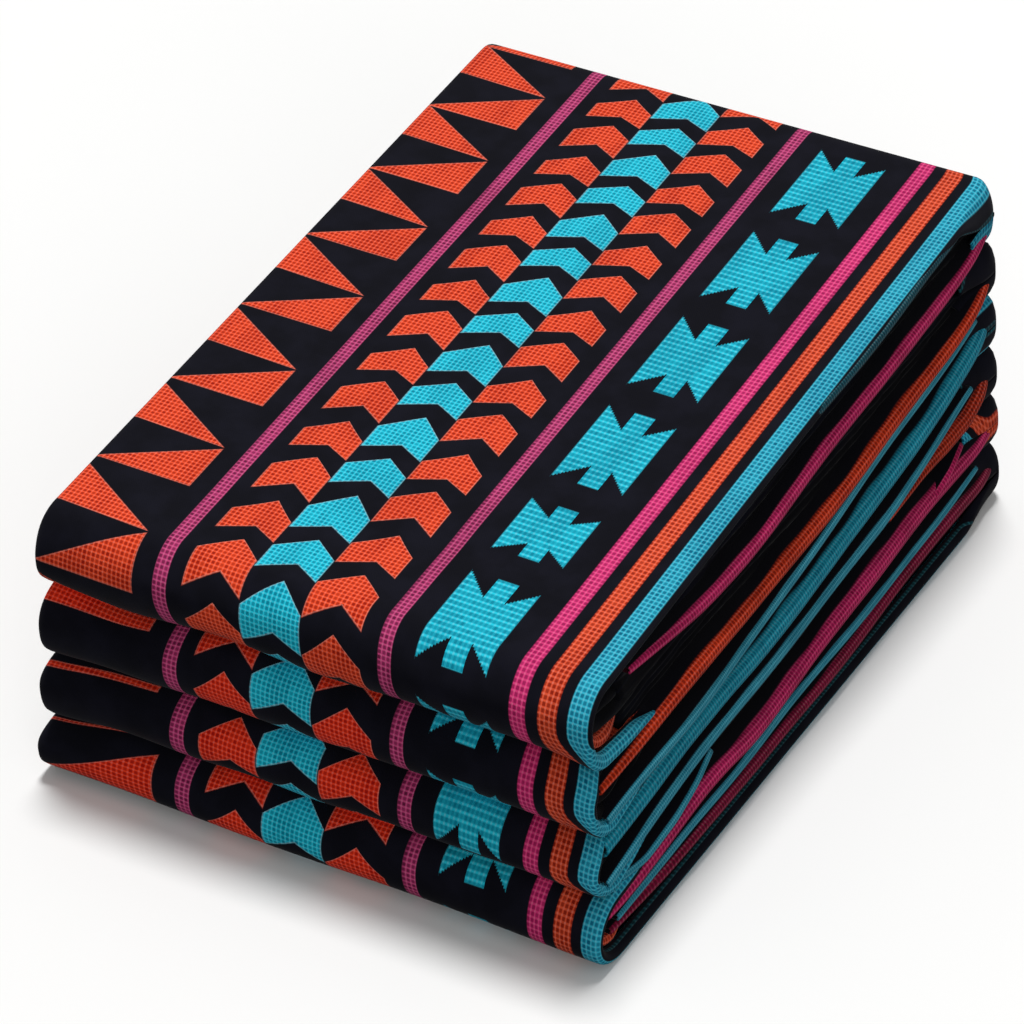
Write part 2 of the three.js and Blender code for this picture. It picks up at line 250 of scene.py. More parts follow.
class Route:
    """The line that a stretch of cloth follows, seen from the side, by its length."""

    STEP = 1.0 * MM

    def __init__(self, points: Sequence[tuple[float, float]], softness: int = 5) -> None:
        """Lays the route through its points.

        Args:
            points: depth and height of each point, in order along the cloth.
            softness: how often its kinks are smoothed.
        """
        rough = np.array(points, dtype=float)
        line = self._even(rough)
        for _ in range(softness):
            inner = (line[:-2] + line[1:-1] * 2 + line[2:]) / 4
            line = np.vstack([line[:1], inner, line[-1:]])
        self.line = self._even(line)
        hops = np.linalg.norm(np.diff(self.line, axis=0), axis=1)
        self.marks = np.concatenate([[0.0], np.cumsum(hops)])

    @classmethod
    def _even(cls, line: np.ndarray) -> np.ndarray:
        """Spaces a line's points evenly.

        Args:
            line: its points.

        Returns:
            The same line with its points a step apart.
        """
        hops = np.linalg.norm(np.diff(line, axis=0), axis=1)
        marks = np.concatenate([[0.0], np.cumsum(hops)])
        wanted = np.linspace(0.0, marks[-1], max(2, int(marks[-1] / cls.STEP)))
        return np.stack([np.interp(wanted, marks, line[:, k]) for k in range(2)], axis=-1)

    @property
    def length(self) -> float:
        """Length of the cloth along the route."""
        return float(self.marks[-1])

    def length_at(self, y: float, after: float = 0.0) -> float:
        """Length at which the route first passes a depth, looked for after a given length."""
        later = np.where(self.marks >= after)[0]
        nearest = later[np.argmax(np.diff(np.sign(self.line[later, 0] - y)) != 0)]
        return float(self.marks[nearest])

    def at(self, lengths: np.ndarray) -> tuple[np.ndarray, np.ndarray]:
        """Places and outward directions along the route.

        Args:
            lengths: lengths along the cloth from the route's start.

        Returns:
            The depth and height at each length, and the unit direction out of the cloth there.
        """
        here = np.stack([np.interp(lengths, self.marks, self.line[:, k]) for k in range(2)], -1)
        slope = np.gradient(self.line, axis=0)
        run = np.stack([np.interp(lengths, self.marks, slope[:, k]) for k in range(2)], -1)
        run /= np.linalg.norm(run, axis=-1, keepdims=True)
        return here, np.stack([run[:, 1], -run[:, 0]], axis=-1)


@dataclass(frozen=True)
class Roll:
    """The rolled side of a sheet: its radius at the front and the back, and what turns under."""

    front: float
    back: float
    under: float


@dataclass(frozen=True)
class Trough:
    """A soft crease pressed into a sheet, in the cloth's own sizes."""

    across: float
    along: float
    turn: float
    length: float
    width: float
    depth: float

    def press(self, across: np.ndarray, along: np.ndarray) -> np.ndarray:
        """Presses the crease in.

        Args:
            across: places across the flat cloth.
            along: the same places along it.

        Returns:
            How far the cloth is pushed in at each place.
        """
        cosine, sine = math.cos(self.turn), math.sin(self.turn)
        run = (across - self.across) * cosine + (along - self.along) * sine
        side = (along - self.along) * cosine - (across - self.across) * sine
        return self.depth * bump(run, 0.0, self.length / 2) * bump(side, 0.0, self.width / 2)


def graded(start: float, end: float, coarse: float, fine: float, margin: float) -> np.ndarray:
    """Rising places with short steps near both ends and longer ones between.

    Args:
        start: first place.
        end: last place.
        coarse: step in the middle.
        fine: step within the margin of each end.
        margin: reach of the short steps.

    Returns:
        The places, from start to end.
    """
    near = np.arange(start, start + margin, fine)
    far = np.arange(end, end - margin, -fine)[::-1]
    count = max(2, int(round((far[0] - near[-1]) / coarse)) + 1)
    return np.concatenate([near, np.linspace(near[-1], far[0], count)[1:-1], far])


def cloth_mesh(name: str, places: np.ndarray, cloth: np.ndarray, band: np.ndarray | None = None,
               ) -> bpy.types.Mesh:
    """Cuts a flat cloth as a grid and lays its points where they go.

    Args:
        name: the mesh's name.
        places: rows of points in the pile, along the cloth and then across it.
        cloth: the same points on the flat cloth, across and along, in metres.
        band: the same points on the sheet's coloured band, -1 to 1 across it, if it has one.

    Returns:
        The mesh, with the flat cloth as its UV map Cloth.
    """
    rows, columns = places.shape[:2]
    shape = bmesh.new()
    bmesh.ops.create_grid(shape, x_segments=columns - 1, y_segments=rows - 1, size=0.5)
    mesh = bpy.data.meshes.new(name)
    shape.to_mesh(mesh)
    shape.free()
    flat = np.empty(len(mesh.vertices) * 3)
    mesh.vertices.foreach_get("co", flat)
    flat = flat.reshape(-1, 3)
    column = np.rint((flat[:, 0] + 0.5) * (columns - 1)).astype(int)
    row = np.rint((flat[:, 1] + 0.5) * (rows - 1)).astype(int)
    mesh.vertices.foreach_set("co", places[row, column].ravel())
    corners = np.empty(len(mesh.loops), dtype=int)
    mesh.loops.foreach_get("vertex_index", corners)
    for label, table in (("Cloth", cloth), ("Band", band)):
        if table is not None:
            layer = mesh.uv_layers.new(name=label)
            layer.data.foreach_set("uv", table[row, column][corners].ravel())
    mesh.polygons.foreach_set("use_smooth", [True] * len(mesh.polygons))
    mesh.update()
    return mesh


def joined(name: str, parts: Sequence[tuple[bpy.types.Mesh, int]]) -> bpy.types.Mesh:
    """Joins meshes into one, each with its own material slot.

    Args:
        name: the joined mesh's name.
        parts: the meshes, and the number of the material slot that each takes.

    Returns:
        The joined mesh. The parts are removed.
    """
    shape = bmesh.new()
    for mesh, slot in parts:
        before = len(shape.faces)
        shape.from_mesh(mesh)
        shape.faces.ensure_lookup_table()
        for face in shape.faces[before:]:
            face.material_index = slot
            face.smooth = True
        bpy.data.meshes.remove(mesh)
    mesh = bpy.data.meshes.new(name)
    shape.to_mesh(mesh)
    shape.free()
    return mesh


def finish_cloth(mesh: bpy.types.Mesh, thickness: float, materials: Sequence[bpy.types.Material],
                 ) -> bpy.types.Object:
    """Gives a sheet its thickness and its finish.

    Args:
        mesh: the outer face of the cloth.
        thickness: of the cloth, added on its inner side.
        materials: the finishes of its slots.

    Returns:
        The finished object.
    """
    piece = bpy.data.objects.new(mesh.name, mesh)
    bpy.context.scene.collection.objects.link(piece)
    for material in materials:
        mesh.materials.append(material)
    wall = piece.modifiers.new("Cloth thickness", "SOLIDIFY")
    wall.thickness = thickness
    wall.offset = -1.0
    wall.use_even_offset = False
    return piece


class Slot(Enum):
    """Finishes that the record names."""

    PATTERNED = "patterned_cloth"
    MAGENTA = "magenta_band"
    ORANGE = "orange_band"
    TURQUOISE = "turquoise_band"
    INNER = "inner_cloth"
    HIDDEN = "hidden_cloth"


def declare(piece: bpy.types.Object, nodes: Sequence[str]) -> None:
    """Tells the frame what a piece stands for.

    Args:
        piece: the finished piece.
        nodes: the frame's nodes that it replaces.
    """
    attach(piece, BODY)
    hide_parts(*nodes)
    LOG.info("%s: %d faces, stands for %s", piece.name, len(piece.data.polygons), ", ".join(nodes))


# ------------------------------------------------------------------ node arithmetic

class Wire:
    """A socket of a node tree that takes part in arithmetic."""

    def __init__(self, tree: bpy.types.NodeTree, socket: bpy.types.NodeSocket) -> None:
        """Holds on to a socket."""
        self.tree = tree
        self.socket = socket

    def math(self, operation: str, *others: "Wire | float") -> "Wire":
        """Adds a Math node.

        Args:
            operation: what it does.
            others: what it takes after this socket.

        Returns:
            Its result.
        """
        node = self.tree.nodes.new("ShaderNodeMath")
        node.operation = operation
        for slot, value in zip(node.inputs, (self, *others)):
            plug(self.tree, value, slot)
        return Wire(self.tree, node.outputs[0])

    def __add__(self, other: "Wire | float") -> "Wire":
        """Sum."""
        return self.math("ADD", other)

    def __sub__(self, other: "Wire | float") -> "Wire":
        """Difference."""
        return self.math("SUBTRACT", other)

    def __mul__(self, other: "Wire | float") -> "Wire":
        """Product."""
        return self.math("MULTIPLY", other)

    def __truediv__(self, other: "Wire | float") -> "Wire":
        """Quotient."""
        return self.math("DIVIDE", other)

    def __neg__(self) -> "Wire":
        """The same number below zero."""
        return self.math("MULTIPLY", -1.0)

    def least(self, other: "Wire | float") -> "Wire":
        """The smaller of two."""
        return self.math("MINIMUM", other)

    def most(self, other: "Wire | float") -> "Wire":
        """The larger of two."""
        return self.math("MAXIMUM", other)

    def size(self) -> "Wire":
        """The number without its sign."""
        return self.math("ABSOLUTE")

    def repeat(self, period: "Wire | float") -> "Wire":
        """Distance past the last whole period."""
        return self.math("FLOORED_MODULO", period)

    def whole(self) -> "Wire":
        """The whole number below."""
        return self.math("FLOOR")

    def wave(self) -> "Wire":
        """Sine, in radians."""
        return self.math("SINE")

    def between(self, start: "Wire | float", end: "Wire | float") -> "Wire":
        """Distance inside a span, below zero outside it."""
        return (self - start).least(-(self - end))

    def soft(self, start: float, end: float) -> "Wire":
        """Adds a smooth ramp.

        Args:
            start: where it is 0.
            end: where it is 1.

        Returns:
            The ramp at this number.
        """
        node = self.tree.nodes.new("ShaderNodeMapRange")
        node.interpolation_type = "SMOOTHSTEP"
        node.inputs["From Min"].default_value = start
        node.inputs["From Max"].default_value = end
        plug(self.tree, self, node.inputs["Value"])
        return Wire(self.tree, node.outputs["Result"])


def plug(tree: bpy.types.NodeTree, value: "Wire | float | tuple",
         slot: bpy.types.NodeSocket) -> None:
    """Links a wire to a socket, or sets the socket's own value.

    Args:
        tree: the tree that holds both.
        value: the wire or the value.
        slot: the socket.
    """
    if isinstance(value, Wire):
        tree.links.new(value.socket, slot)
    else:
        slot.default_value = value


def mix_colour(factor: Wire, first: "Wire | tuple", second: "Wire | tuple") -> Wire:
    """Mixes two colours.

    Args:
        factor: 0 for the first colour and 1 for the second.
        first: the first colour.
        second: the second colour.

    Returns:
        The mixed colour.
    """
    node = factor.tree.nodes.new("ShaderNodeMix")
    node.data_type = "RGBA"
    for index, value in ((0, factor), (6, first), (7, second)):
        plug(factor.tree, value, node.inputs[index])
    return Wire(factor.tree, node.outputs[2])


def vector_of(tree: bpy.types.NodeTree, *parts: "Wire | float") -> Wire:
    """Makes a vector.

    Args:
        tree: the tree to work in.
        parts: its x, y and z, or the first of them.

    Returns:
        The vector.
    """
    node = tree.nodes.new("ShaderNodeCombineXYZ")
    for slot, value in zip(node.inputs, parts):
        plug(tree, value, slot)
    return Wire(tree, node.outputs[0])


def noise_at(vector: Wire, scale: float, detail: float = 2.0) -> Wire:
    """Reads soft noise.

    Args:
        vector: where it is read.
        scale: of the noise.
        detail: octaves of finer noise.

    Returns:
        The noise, from 0 to 1.
    """
    node = vector.tree.nodes.new("ShaderNodeTexNoise")
    node.inputs["Scale"].default_value = scale
    node.inputs["Detail"].default_value = detail
    plug(vector.tree, vector, node.inputs["Vector"])
    return Wire(vector.tree, node.outputs[0])


class Effect:
    """A shader node group that several finishes share: named inputs, named outputs."""

    def __init__(self, name: str, inputs: Sequence[str], outputs: Sequence[str],
                 make: Callable[..., Sequence[Wire]]) -> None:
        """Builds the group once.

        Args:
            name: the group's name.
            inputs: names of its inputs. One that ends in Colour is a colour.
            outputs: names of its outputs, in the order that make returns them.
            make: takes the tree and one wire for each input, and returns the outputs' wires.
        """
        self.tree = bpy.data.node_groups.new(name, "ShaderNodeTree")
        for side, names in (("INPUT", inputs), ("OUTPUT", outputs)):
            for label in names:
                kind = "NodeSocketColor" if label.endswith("Colour") else "NodeSocketFloat"
                self.tree.interface.new_socket(name=label, in_out=side, socket_type=kind)
        entry = self.tree.nodes.new("NodeGroupInput")
        leave = self.tree.nodes.new("NodeGroupOutput")
        wires = [Wire(self.tree, entry.outputs[label]) for label in inputs]
        for label, wire in zip(outputs, make(self.tree, *wires)):
            plug(self.tree, wire, leave.inputs[label])

    def use(self, tree: bpy.types.NodeTree, *values: "Wire | float | tuple") -> list[Wire]:
        """Places the group in a tree.

        Args:
            tree: the material's or group's tree.
            values: a wire or a number for each input, in order.

        Returns:
            A wire for each output.
        """
        node = tree.nodes.new("ShaderNodeGroup")
        node.node_tree = self.tree
        for slot, value in zip(node.inputs, values):
            plug(tree, value, slot)
        return [Wire(tree, socket) for socket in node.outputs]


# ------------------------------------------------------------------ the woven pattern, in mm

FIGURE_EDGE = 0.35       # how softly a figure's edge is drawn
PALE_CROSSING = 0.13     # how pale the threads are where they cross
PALE_THREAD = (1.0, 0.94, 0.9, 1.0)
RIM_THREAD = (0.95, 0.62, 0.5, 1.0)
CELL = (2.35, 2.4)       # width and length of a cell of the open weave
CELL_FADE = (0.98, 0.36)    # share of a cell's half size where it ends, and up to which it is full
SPOOL_CELL = (0.1, 1.3)    # what a spool's cell is wider and longer
SPOOL_ROWS = 0.72        # how far a spool's cells join into rows
STRIPES_FROM = (245.0, 246.0)
STRIPE_CELL = 0.35       # what a stripe's cell is longer
TWILL_PITCH = 1.3
TRIANGLE_REACH = 52.8    # the triangles' width from the lengthwise fold
TRIANGLE_PERIOD = 63.4
TRIANGLE_HEIGHTS = (30.5, 31.0)    # of the triangle behind a point and of the one before it
TRIANGLE_STRETCH = (0.935, 0.000166)
BAR_SLANT = 0.072
CHEVRON_PERIOD = 29.7
CHEVRON_THICKNESS = (19.2, 15.2)    # at the crest and at the sides
CHEVRON_FALL = 12.3
CHEVRON_CREST = 0.56     # share of the width at which a chevron is highest
CHEVRON_STRETCH = (0.874, 0.00029)
SPOOL_PERIOD = 75.3
SPOOL_SPAN = (200.2, 236.4)
SPOOL_TAB = (213.9, 224.7)
SPOOL_HEIGHTS = (28.6, 14.6)    # half-heights of the tab and of the notch beside it
SPOOL_STEP = 1.2         # the weft's steps on a spool's slants
SPOOL_LOSS = 9.4         # how much each half of the short spool lacks


def woven_cells(tree: bpy.types.NodeTree, across: Wire, along: Wire, width: Wire, length: Wire,
                rows: Wire) -> list[Wire]:
    """Draws an open weave: a lattice of threads over darker cells, which may join into rows.

    Args:
        tree: the tree to work in.
        across: place across the cloth.
        along: place along it.
        width: of a cell.
        length: of a cell.
        rows: how far the cells of a row join.

    Returns:
        The cells, the relief of the weave, and the crossings of its threads.
    """
    a = across / width
    b = along / length
    side = ((a.repeat(1.0) - 0.5).size() * 2.0).soft(*CELL_FADE)
    end = ((b.repeat(1.0) - 0.5).size() * 2.0).soft(*CELL_FADE)
    zone = noise_at(vector_of(tree, a * 0.16, b * 0.045), 1.0, 1.0).soft(0.46, 0.64)
    slack = noise_at(vector_of(tree, a.whole() * 0.73, b.whole() * 0.61), 3.1, 0.0)
    dots = side.most(rows) * end.most(zone * 0.3) * (slack * 0.7 + 0.5) + zone * 0.14
    crossing = (-(side - 1.0)) * (-(end - 1.0)) * (slack * 0.8 + 0.4)
    return [dots, dots * -0.6 + slack * 0.2, crossing]


def stretched(along: Wire, stretch: tuple[float, float]) -> tuple[Wire, Wire]:
    """A length whose scale grows evenly along the cloth, and that scale."""
    scale, growth = stretch
    return along * (along * growth + scale), along * (growth * 2) + scale


def triangle_column(tree: bpy.types.NodeTree, across: Wire, along: Wire, phase: Wire,
                    rest_from: Wire, rest_to: Wire, bar_from: Wire, bar_to: Wire) -> list[Wire]:
    """Draws long triangles, point to point, mirrored over the lengthwise fold.

    Args:
        tree: the tree to work in; not used.
        across: place across the cloth.
        along: place along it.
        phase: where a triangle's long side lies.
        rest_from: where the row leaves a gap.
        rest_to: where the gap ends.
        bar_from: where a slanting bar lies in the gap.
        bar_to: where the bar ends.

    Returns:
        The distance inside a triangle or the bar.
    """
    reach = across.size()
    share = reach / TRIANGLE_REACH
    length, scale = stretched(along, TRIANGLE_STRETCH)
    past = (length - phase).repeat(TRIANGLE_PERIOD)
    left = -(past - TRIANGLE_PERIOD) / scale
    past = past / scale
    high, low = TRIANGLE_HEIGHTS
    behind = past.between((-(share - 1.0)) * 2.0, (-(share - 1.0)) * high)
    before = left.between(-(share * (low - 1.0)) + low, low)
    rest = along.between(rest_from, rest_to)
    bar = (along - reach * BAR_SLANT).between(bar_from, bar_to)
    rows = (behind.most(before) * 0.9).least(-rest)
    return [rows.most(bar).least(-(reach - TRIANGLE_REACH))]


def chevron_column(tree: bpy.types.NodeTree, across: Wire, along: Wire, start: Wire, width: Wire,
                   phase: Wire, pair_phase: Wire) -> list[Wire]:
    """Draws a column of chevrons, crests to the back, which lie a little in pairs.

    Args:
        tree: the tree to work in; not used.
        across: place across the cloth.
        along: place along it.
        start: where the column starts.
        width: of the column.
        phase: place of a crest.
        pair_phase: the same for all columns, which sets how the pairs lie.

    Returns:
        The distance inside a chevron.
    """
    share = (across - start) / width
    fall = ((share - CHEVRON_CREST) * (0.8 / (1.0 - CHEVRON_CREST))).most(
        -(share - CHEVRON_CREST) / CHEVRON_CREST)
    length, _ = stretched(along, CHEVRON_STRETCH)
    pairs = ((length - pair_phase) * (math.pi / CHEVRON_PERIOD) + math.pi * 0.75).wave() * 1.4
    past = (length - phase + fall * CHEVRON_FALL + pairs).repeat(CHEVRON_PERIOD)
    crest, side = CHEVRON_THICKNESS
    solid = past.between(fall * (crest - side) + (CHEVRON_PERIOD - crest), CHEVRON_PERIOD)
    return [(solid * 0.9).least(across.between(start, start + width))]


def spool_column(tree: bpy.types.NodeTree, across: Wire, along: Wire, phase: Wire, short: Wire,
                 ) -> list[Wire]:
    """Draws thread spools with slanting notches, stepped by the weft.

    Args:
        tree: the tree to work in; not used.
        across: place across the cloth.
        along: place along it.
        phase: middle of a spool.
        short: number of the spool that is short.

    Returns:
        The distance inside a spool.
    """
    side = (along - phase - short * SPOOL_PERIOD).math("SIGN")
    row = ((along + side * SPOOL_LOSS - phase) / SPOOL_PERIOD + 0.5).whole()
    past_short = (row - short).least(1.0).most(-1.0)
    from_middle = (along - phase - row * SPOOL_PERIOD + past_short * SPOOL_LOSS).size()
    out = (across - SPOOL_TAB[1]).most(-(across - SPOOL_TAB[0]))
    slant = (SPOOL_HEIGHTS[0] - SPOOL_HEIGHTS[1]) / (SPOOL_TAB[0] - SPOOL_SPAN[0])
    notched = ((out / SPOOL_STEP).math("ROUND") * (SPOOL_STEP * slant) + SPOOL_HEIGHTS[1])
    tab = out.soft(0.01, -0.01) * SPOOL_HEIGHTS[0]
    shrink = (row - short).size().soft(0.2, 0.1) * (-SPOOL_LOSS / SPOOL_HEIGHTS[0]) + 1.0
    height = tab.most(notched) * shrink
    inside = (-(from_middle - height)) * 0.8
    return [inside.least(across.between(*SPOOL_SPAN))]


def woven_figure(tree: bpy.types.NodeTree, below: Wire, bright: Wire, deep: Wire, inside: Wire,
                 dots: Wire, crossing: Wire, rim: Wire) -> list[Wire]:
    """Lays a woven figure over a colour.

    Args:
        tree: the tree to work in; not used.
        below: the colour that it lies on.
        bright: colour of its threads.
        deep: colour of the cells between them.
        inside: distance inside the figure.
        dots: the cells.
        crossing: the crossings of the threads.
        rim: strength of its pale outline.

    Returns:
        The colour with the figure on it, and the figure's mask.
    """
    mask = inside.soft(-FIGURE_EDGE, FIGURE_EDGE)
    yarn = mix_colour(dots, bright, deep)
    yarn = mix_colour(crossing * PALE_CROSSING, yarn, PALE_THREAD)
    edge = inside.between(-0.2, 0.6).soft(0.0, 0.3) * rim
    pale = mix_colour(edge, yarn, RIM_THREAD)
    return [mix_colour(mask, below, pale), mask]


def ground_twill(tree: bpy.types.NodeTree, across: Wire, along: Wire) -> list[Wire]:
    """Fine twill of the dark ground, and its faint unevenness."""
    twill = ((across + along * 0.8) * (math.tau / TWILL_PITCH)).wave() * 0.5 + 0.5
    cloud = noise_at(vector_of(tree, across, along), 0.05, 3.0)
    return [twill, cloud]


@dataclass(frozen=True)
class Yarn:
    """The two colours of a woven figure: its bright threads and the deep dots between them."""

    bright: tuple[float, float, float, float]
    deep: tuple[float, float, float, float]


class Yarns(Enum):
    """Colours of the cloth's figures and stripes."""

    ORANGE = Yarn(linear(252, 86, 46), linear(160, 26, 8))
    # A redder copy of ORANGE for the lower front folds and the base: painted shade, as the orange
    # looks in the shade there.
    SHADED_ORANGE = Yarn(linear(255, 66, 32), linear(176, 18, 8))
    TURQUOISE = Yarn(linear(38, 212, 236), linear(2, 132, 158))
    MAGENTA = Yarn(linear(238, 66, 134), linear(158, 26, 84))
    THIN_MAGENTA = Yarn(linear(206, 70, 128), linear(104, 24, 62))
    ORANGE_STRIPE = Yarn(linear(242, 92, 56), linear(146, 30, 10))
    TURQUOISE_STRIPE = Yarn(linear(54, 188, 214), linear(4, 100, 132))
    TEAL = Yarn(linear(30, 96, 106), linear(10, 40, 48))


GROUND = linear(10, 10, 19)
GROUND_WORN = linear(17, 17, 28)

# Stripes along the cloth: their yarn, and where they start and end, in mm from the fold.
STRIPES = (
    (Yarns.THIN_MAGENTA, 63.7, 70.8),
    (Yarns.THIN_MAGENTA, 181.4, 188.2),
    (Yarns.MAGENTA, 249.8, 258.0),
    (Yarns.ORANGE_STRIPE, 264.4, 273.8),
    (Yarns.TURQUOISE_STRIPE, 279.2, 289.2),
    (Yarns.TEAL, 294.0, 295.5),
)

# Chevron columns: their yarn, where they start, their width, and their shift along the cloth.
CHEVRONS = (
    (Yarns.ORANGE, 78.8, 30.2, 0.0),
    (Yarns.TURQUOISE, 109.5, 31.2, CHEVRON_PERIOD / 2),
    (Yarns.ORANGE, 141.3, 30.4, 2.4),
)


@dataclass(frozen=True)
class Effects:
    """The node groups, built once."""

    cells: Effect
    triangles: Effect
    chevrons: Effect
    spools: Effect
    figure: Effect
    twill: Effect


def build_effects() -> Effects:
    """Builds the node groups that the finishes share.

    Returns:
        The effects.
    """
    place = ("Across", "Along")
    return Effects(
        cells=Effect("Woven Cells", (*place, "Cell Width", "Cell Length", "Rows"),
                     ("Dots", "Relief", "Crossing"), woven_cells),
        triangles=Effect("Triangle Column", (*place, "Phase", "Rest From", "Rest To", "Bar From",
                                             "Bar To"), ("Inside",), triangle_column),
        chevrons=Effect("Chevron Column", (*place, "Start", "Width", "Phase", "Pair Phase"),
                        ("Inside",), chevron_column),
        spools=Effect("Spool Column", (*place, "Phase", "Short One"), ("Inside",), spool_column),
        figure=Effect("Woven Figure", ("Below Colour", "Bright Colour", "Deep Colour", "Inside",
                                       "Dots", "Crossing", "Rim"),
                      ("Laid Colour", "Mask"), woven_figure),
        twill=Effect("Ground Twill", place, ("Twill", "Cloud"), ground_twill),
    )


def new_material(name: str) -> tuple[bpy.types.Material, bpy.types.NodeTree, bpy.types.Node]:
    """Starts a node material.

    Args:
        name: its name.

    Returns:
        The material, its tree and its Principled shader, set as soft cloth.
    """
    material = bpy.data.materials.new(name)
    material.use_nodes = True
    tree = material.node_tree
    tree.nodes.clear()
    shader = tree.nodes.new("ShaderNodeBsdfPrincipled")
    output = tree.nodes.new("ShaderNodeOutputMaterial")
    tree.links.new(shader.outputs[0], output.inputs["Surface"])
    shader.inputs["Specular IOR Level"].default_value = 0.08
    shader.inputs["Sheen Weight"].default_value = 0.05
    shader.inputs["Sheen Roughness"].default_value = 0.45
    return material, tree, shader


def flat_cloth(tree: bpy.types.NodeTree, label: str, scale: float) -> tuple[Wire, Wire]:
    """Reads one of a piece's UV maps.

    Args:
        tree: the material's tree.
        label: the map's name.
        scale: what both numbers are multiplied by.

    Returns:
        The place across and along.
    """
    uv = tree.nodes.new("ShaderNodeUVMap")
    uv.uv_map = label
    parts = tree.nodes.new("ShaderNodeSeparateXYZ")
    tree.links.new(uv.outputs[0], parts.inputs[0])
    return Wire(tree, parts.outputs[0]) * scale, Wire(tree, parts.outputs[1]) * scale


def add_relief(tree: bpy.types.NodeTree, shader: bpy.types.Node, height: Wire,
               depth: float = 0.45 * MM) -> None:
    """Feeds a height to the shader's normal as bump.

    Args:
        tree: the material's tree.
        shader: its shader.
        height: the height, 0 to 1.
        depth: how deep it is.
    """
    relief = tree.nodes.new("ShaderNodeBump")
    relief.inputs["Strength"].default_value = 0.6
    relief.inputs["Distance"].default_value = depth
    plug(tree, height, relief.inputs["Height"])
    tree.links.new(relief.outputs[0], shader.inputs["Normal"])


@dataclass(frozen=True)
class PatternedCloth:
    """The dark cloth with its woven figures. All sizes in mm along the cloth."""

    name: str
    triangle_phase: float = 0.0
    chevron_phase: float = 0.0
    spool_phase: float = 0.0
    short_spool: float = -99.0
    middle_shift: float = 0.0
    rest: tuple[float, float] = (900.0, 901.0)
    bar: tuple[float, float] = (900.0, 901.0)
    # The orange yarn, or its copy with painted shade on the lower folds.
    orange: Yarns = Yarns.ORANGE

    def build(self, effects: Effects) -> bpy.types.Material:
        """Builds the finish.

        Args:
            effects: the shared node groups.

        Returns:
            The material.
        """
        material, tree, shader = new_material(self.name)
        across, along = flat_cloth(tree, "Cloth", 1000.0)
        triangles, = effects.triangles.use(tree, across, along, self.triangle_phase,
                                           *self.rest, *self.bar)
        chevrons = [
            ((self.orange if yarn is Yarns.ORANGE else yarn).value, effects.chevrons.use(
                tree, across, along, start, width,
                self.chevron_phase + shift + (self.middle_shift if yarn is Yarns.TURQUOISE else 0),
                self.chevron_phase)[0])
            for yarn, start, width, shift in CHEVRONS
        ]
        spools, = effects.spools.use(tree, across, along, self.spool_phase, self.short_spool)
        stripes = [(yarn.value, across.between(start, end)) for yarn, start, end in STRIPES]
        on_spool = spools.soft(-FIGURE_EDGE, FIGURE_EDGE)
        on_stripe = across.soft(*STRIPES_FROM)
        width = on_spool * SPOOL_CELL[0] + CELL[0]
        length = on_spool * SPOOL_CELL[1] + on_stripe * STRIPE_CELL + CELL[1]
        dots, relief, crossing = effects.cells.use(tree, across, along, width, length,
                                                   on_spool * SPOOL_ROWS)
        twill, cloud = effects.twill.use(tree, across, along)
        colour = mix_colour(cloud.soft(0.35, 0.7), GROUND, GROUND_WORN)
        covered = None
        figures = [(self.orange.value, triangles), *chevrons, (Yarns.TURQUOISE.value, spools)]
        for rim, group in ((0.2, figures[:-1]), (0.0, (figures[-1], *stripes))):
            for yarn, inside in group:
                colour, mask = effects.figure.use(tree, colour, yarn.bright, yarn.deep, inside,
                                                  dots, crossing, rim)
                covered = mask if covered is None else covered.most(mask)
        plug(tree, colour, shader.inputs["Base Color"])
        plug(tree, covered * -0.1 + twill * 0.05 + 0.84, shader.inputs["Roughness"])
        height = covered * (relief + 0.7) + twill * 0.12
        add_relief(tree, shader, height)
        return material


@dataclass(frozen=True)
class BandCloth:
    """A border of one colour on dark cloth, for a turned edge."""

    name: str
    yarn: Yarn
    cell: tuple[float, float]
    ribbed: float = 0.0
    reach: float = 0.80
    wander: float = 0.12
    wander_length: float = 38.0
    crispness: float = 5.0
    shade: tuple[float, float, float, float] = GROUND

    def build(self, effects: Effects) -> bpy.types.Material:
        """Builds the finish.

        Args:
            effects: the shared node groups.

        Returns:
            The material.
        """
        material, tree, shader = new_material(self.name)
        across, along = flat_cloth(tree, "Cloth", 1000.0)
        side, _ = flat_cloth(tree, "Band", 1.0)
        dots, relief, crossing = effects.cells.use(tree, across, along, *self.cell, 0.0)
        rib = ((along * (math.tau / self.cell[1])).wave() * 0.5 + 0.5) * self.ribbed
        twill, cloud = effects.twill.use(tree, across, along)
        spot = vector_of(tree, along / self.wander_length, 0.0, 7.0)
        wander = noise_at(spot, 1.0, 2.0) * (2 * self.wander) - self.wander
        inside = (-((side + wander * 0.6).size() - (wander + self.reach))) * self.crispness
        under = mix_colour((side + 0.1).soft(-0.6, -1.05), GROUND, self.shade)
        worn = mix_colour(cloud.soft(0.45, 0.75) * 0.35, self.yarn.bright, self.yarn.deep)
        colour, mask = effects.figure.use(tree, under, worn, self.yarn.deep, inside,
                                          dots.most(rib), crossing, 0.0)
        plug(tree, colour, shader.inputs["Base Color"])
        plug(tree, mask * -0.08 + twill * 0.05 + 0.84, shader.inputs["Roughness"])
        add_relief(tree, shader, mask * (relief - rib * 0.5 + 0.7) + twill * 0.12)
        return material


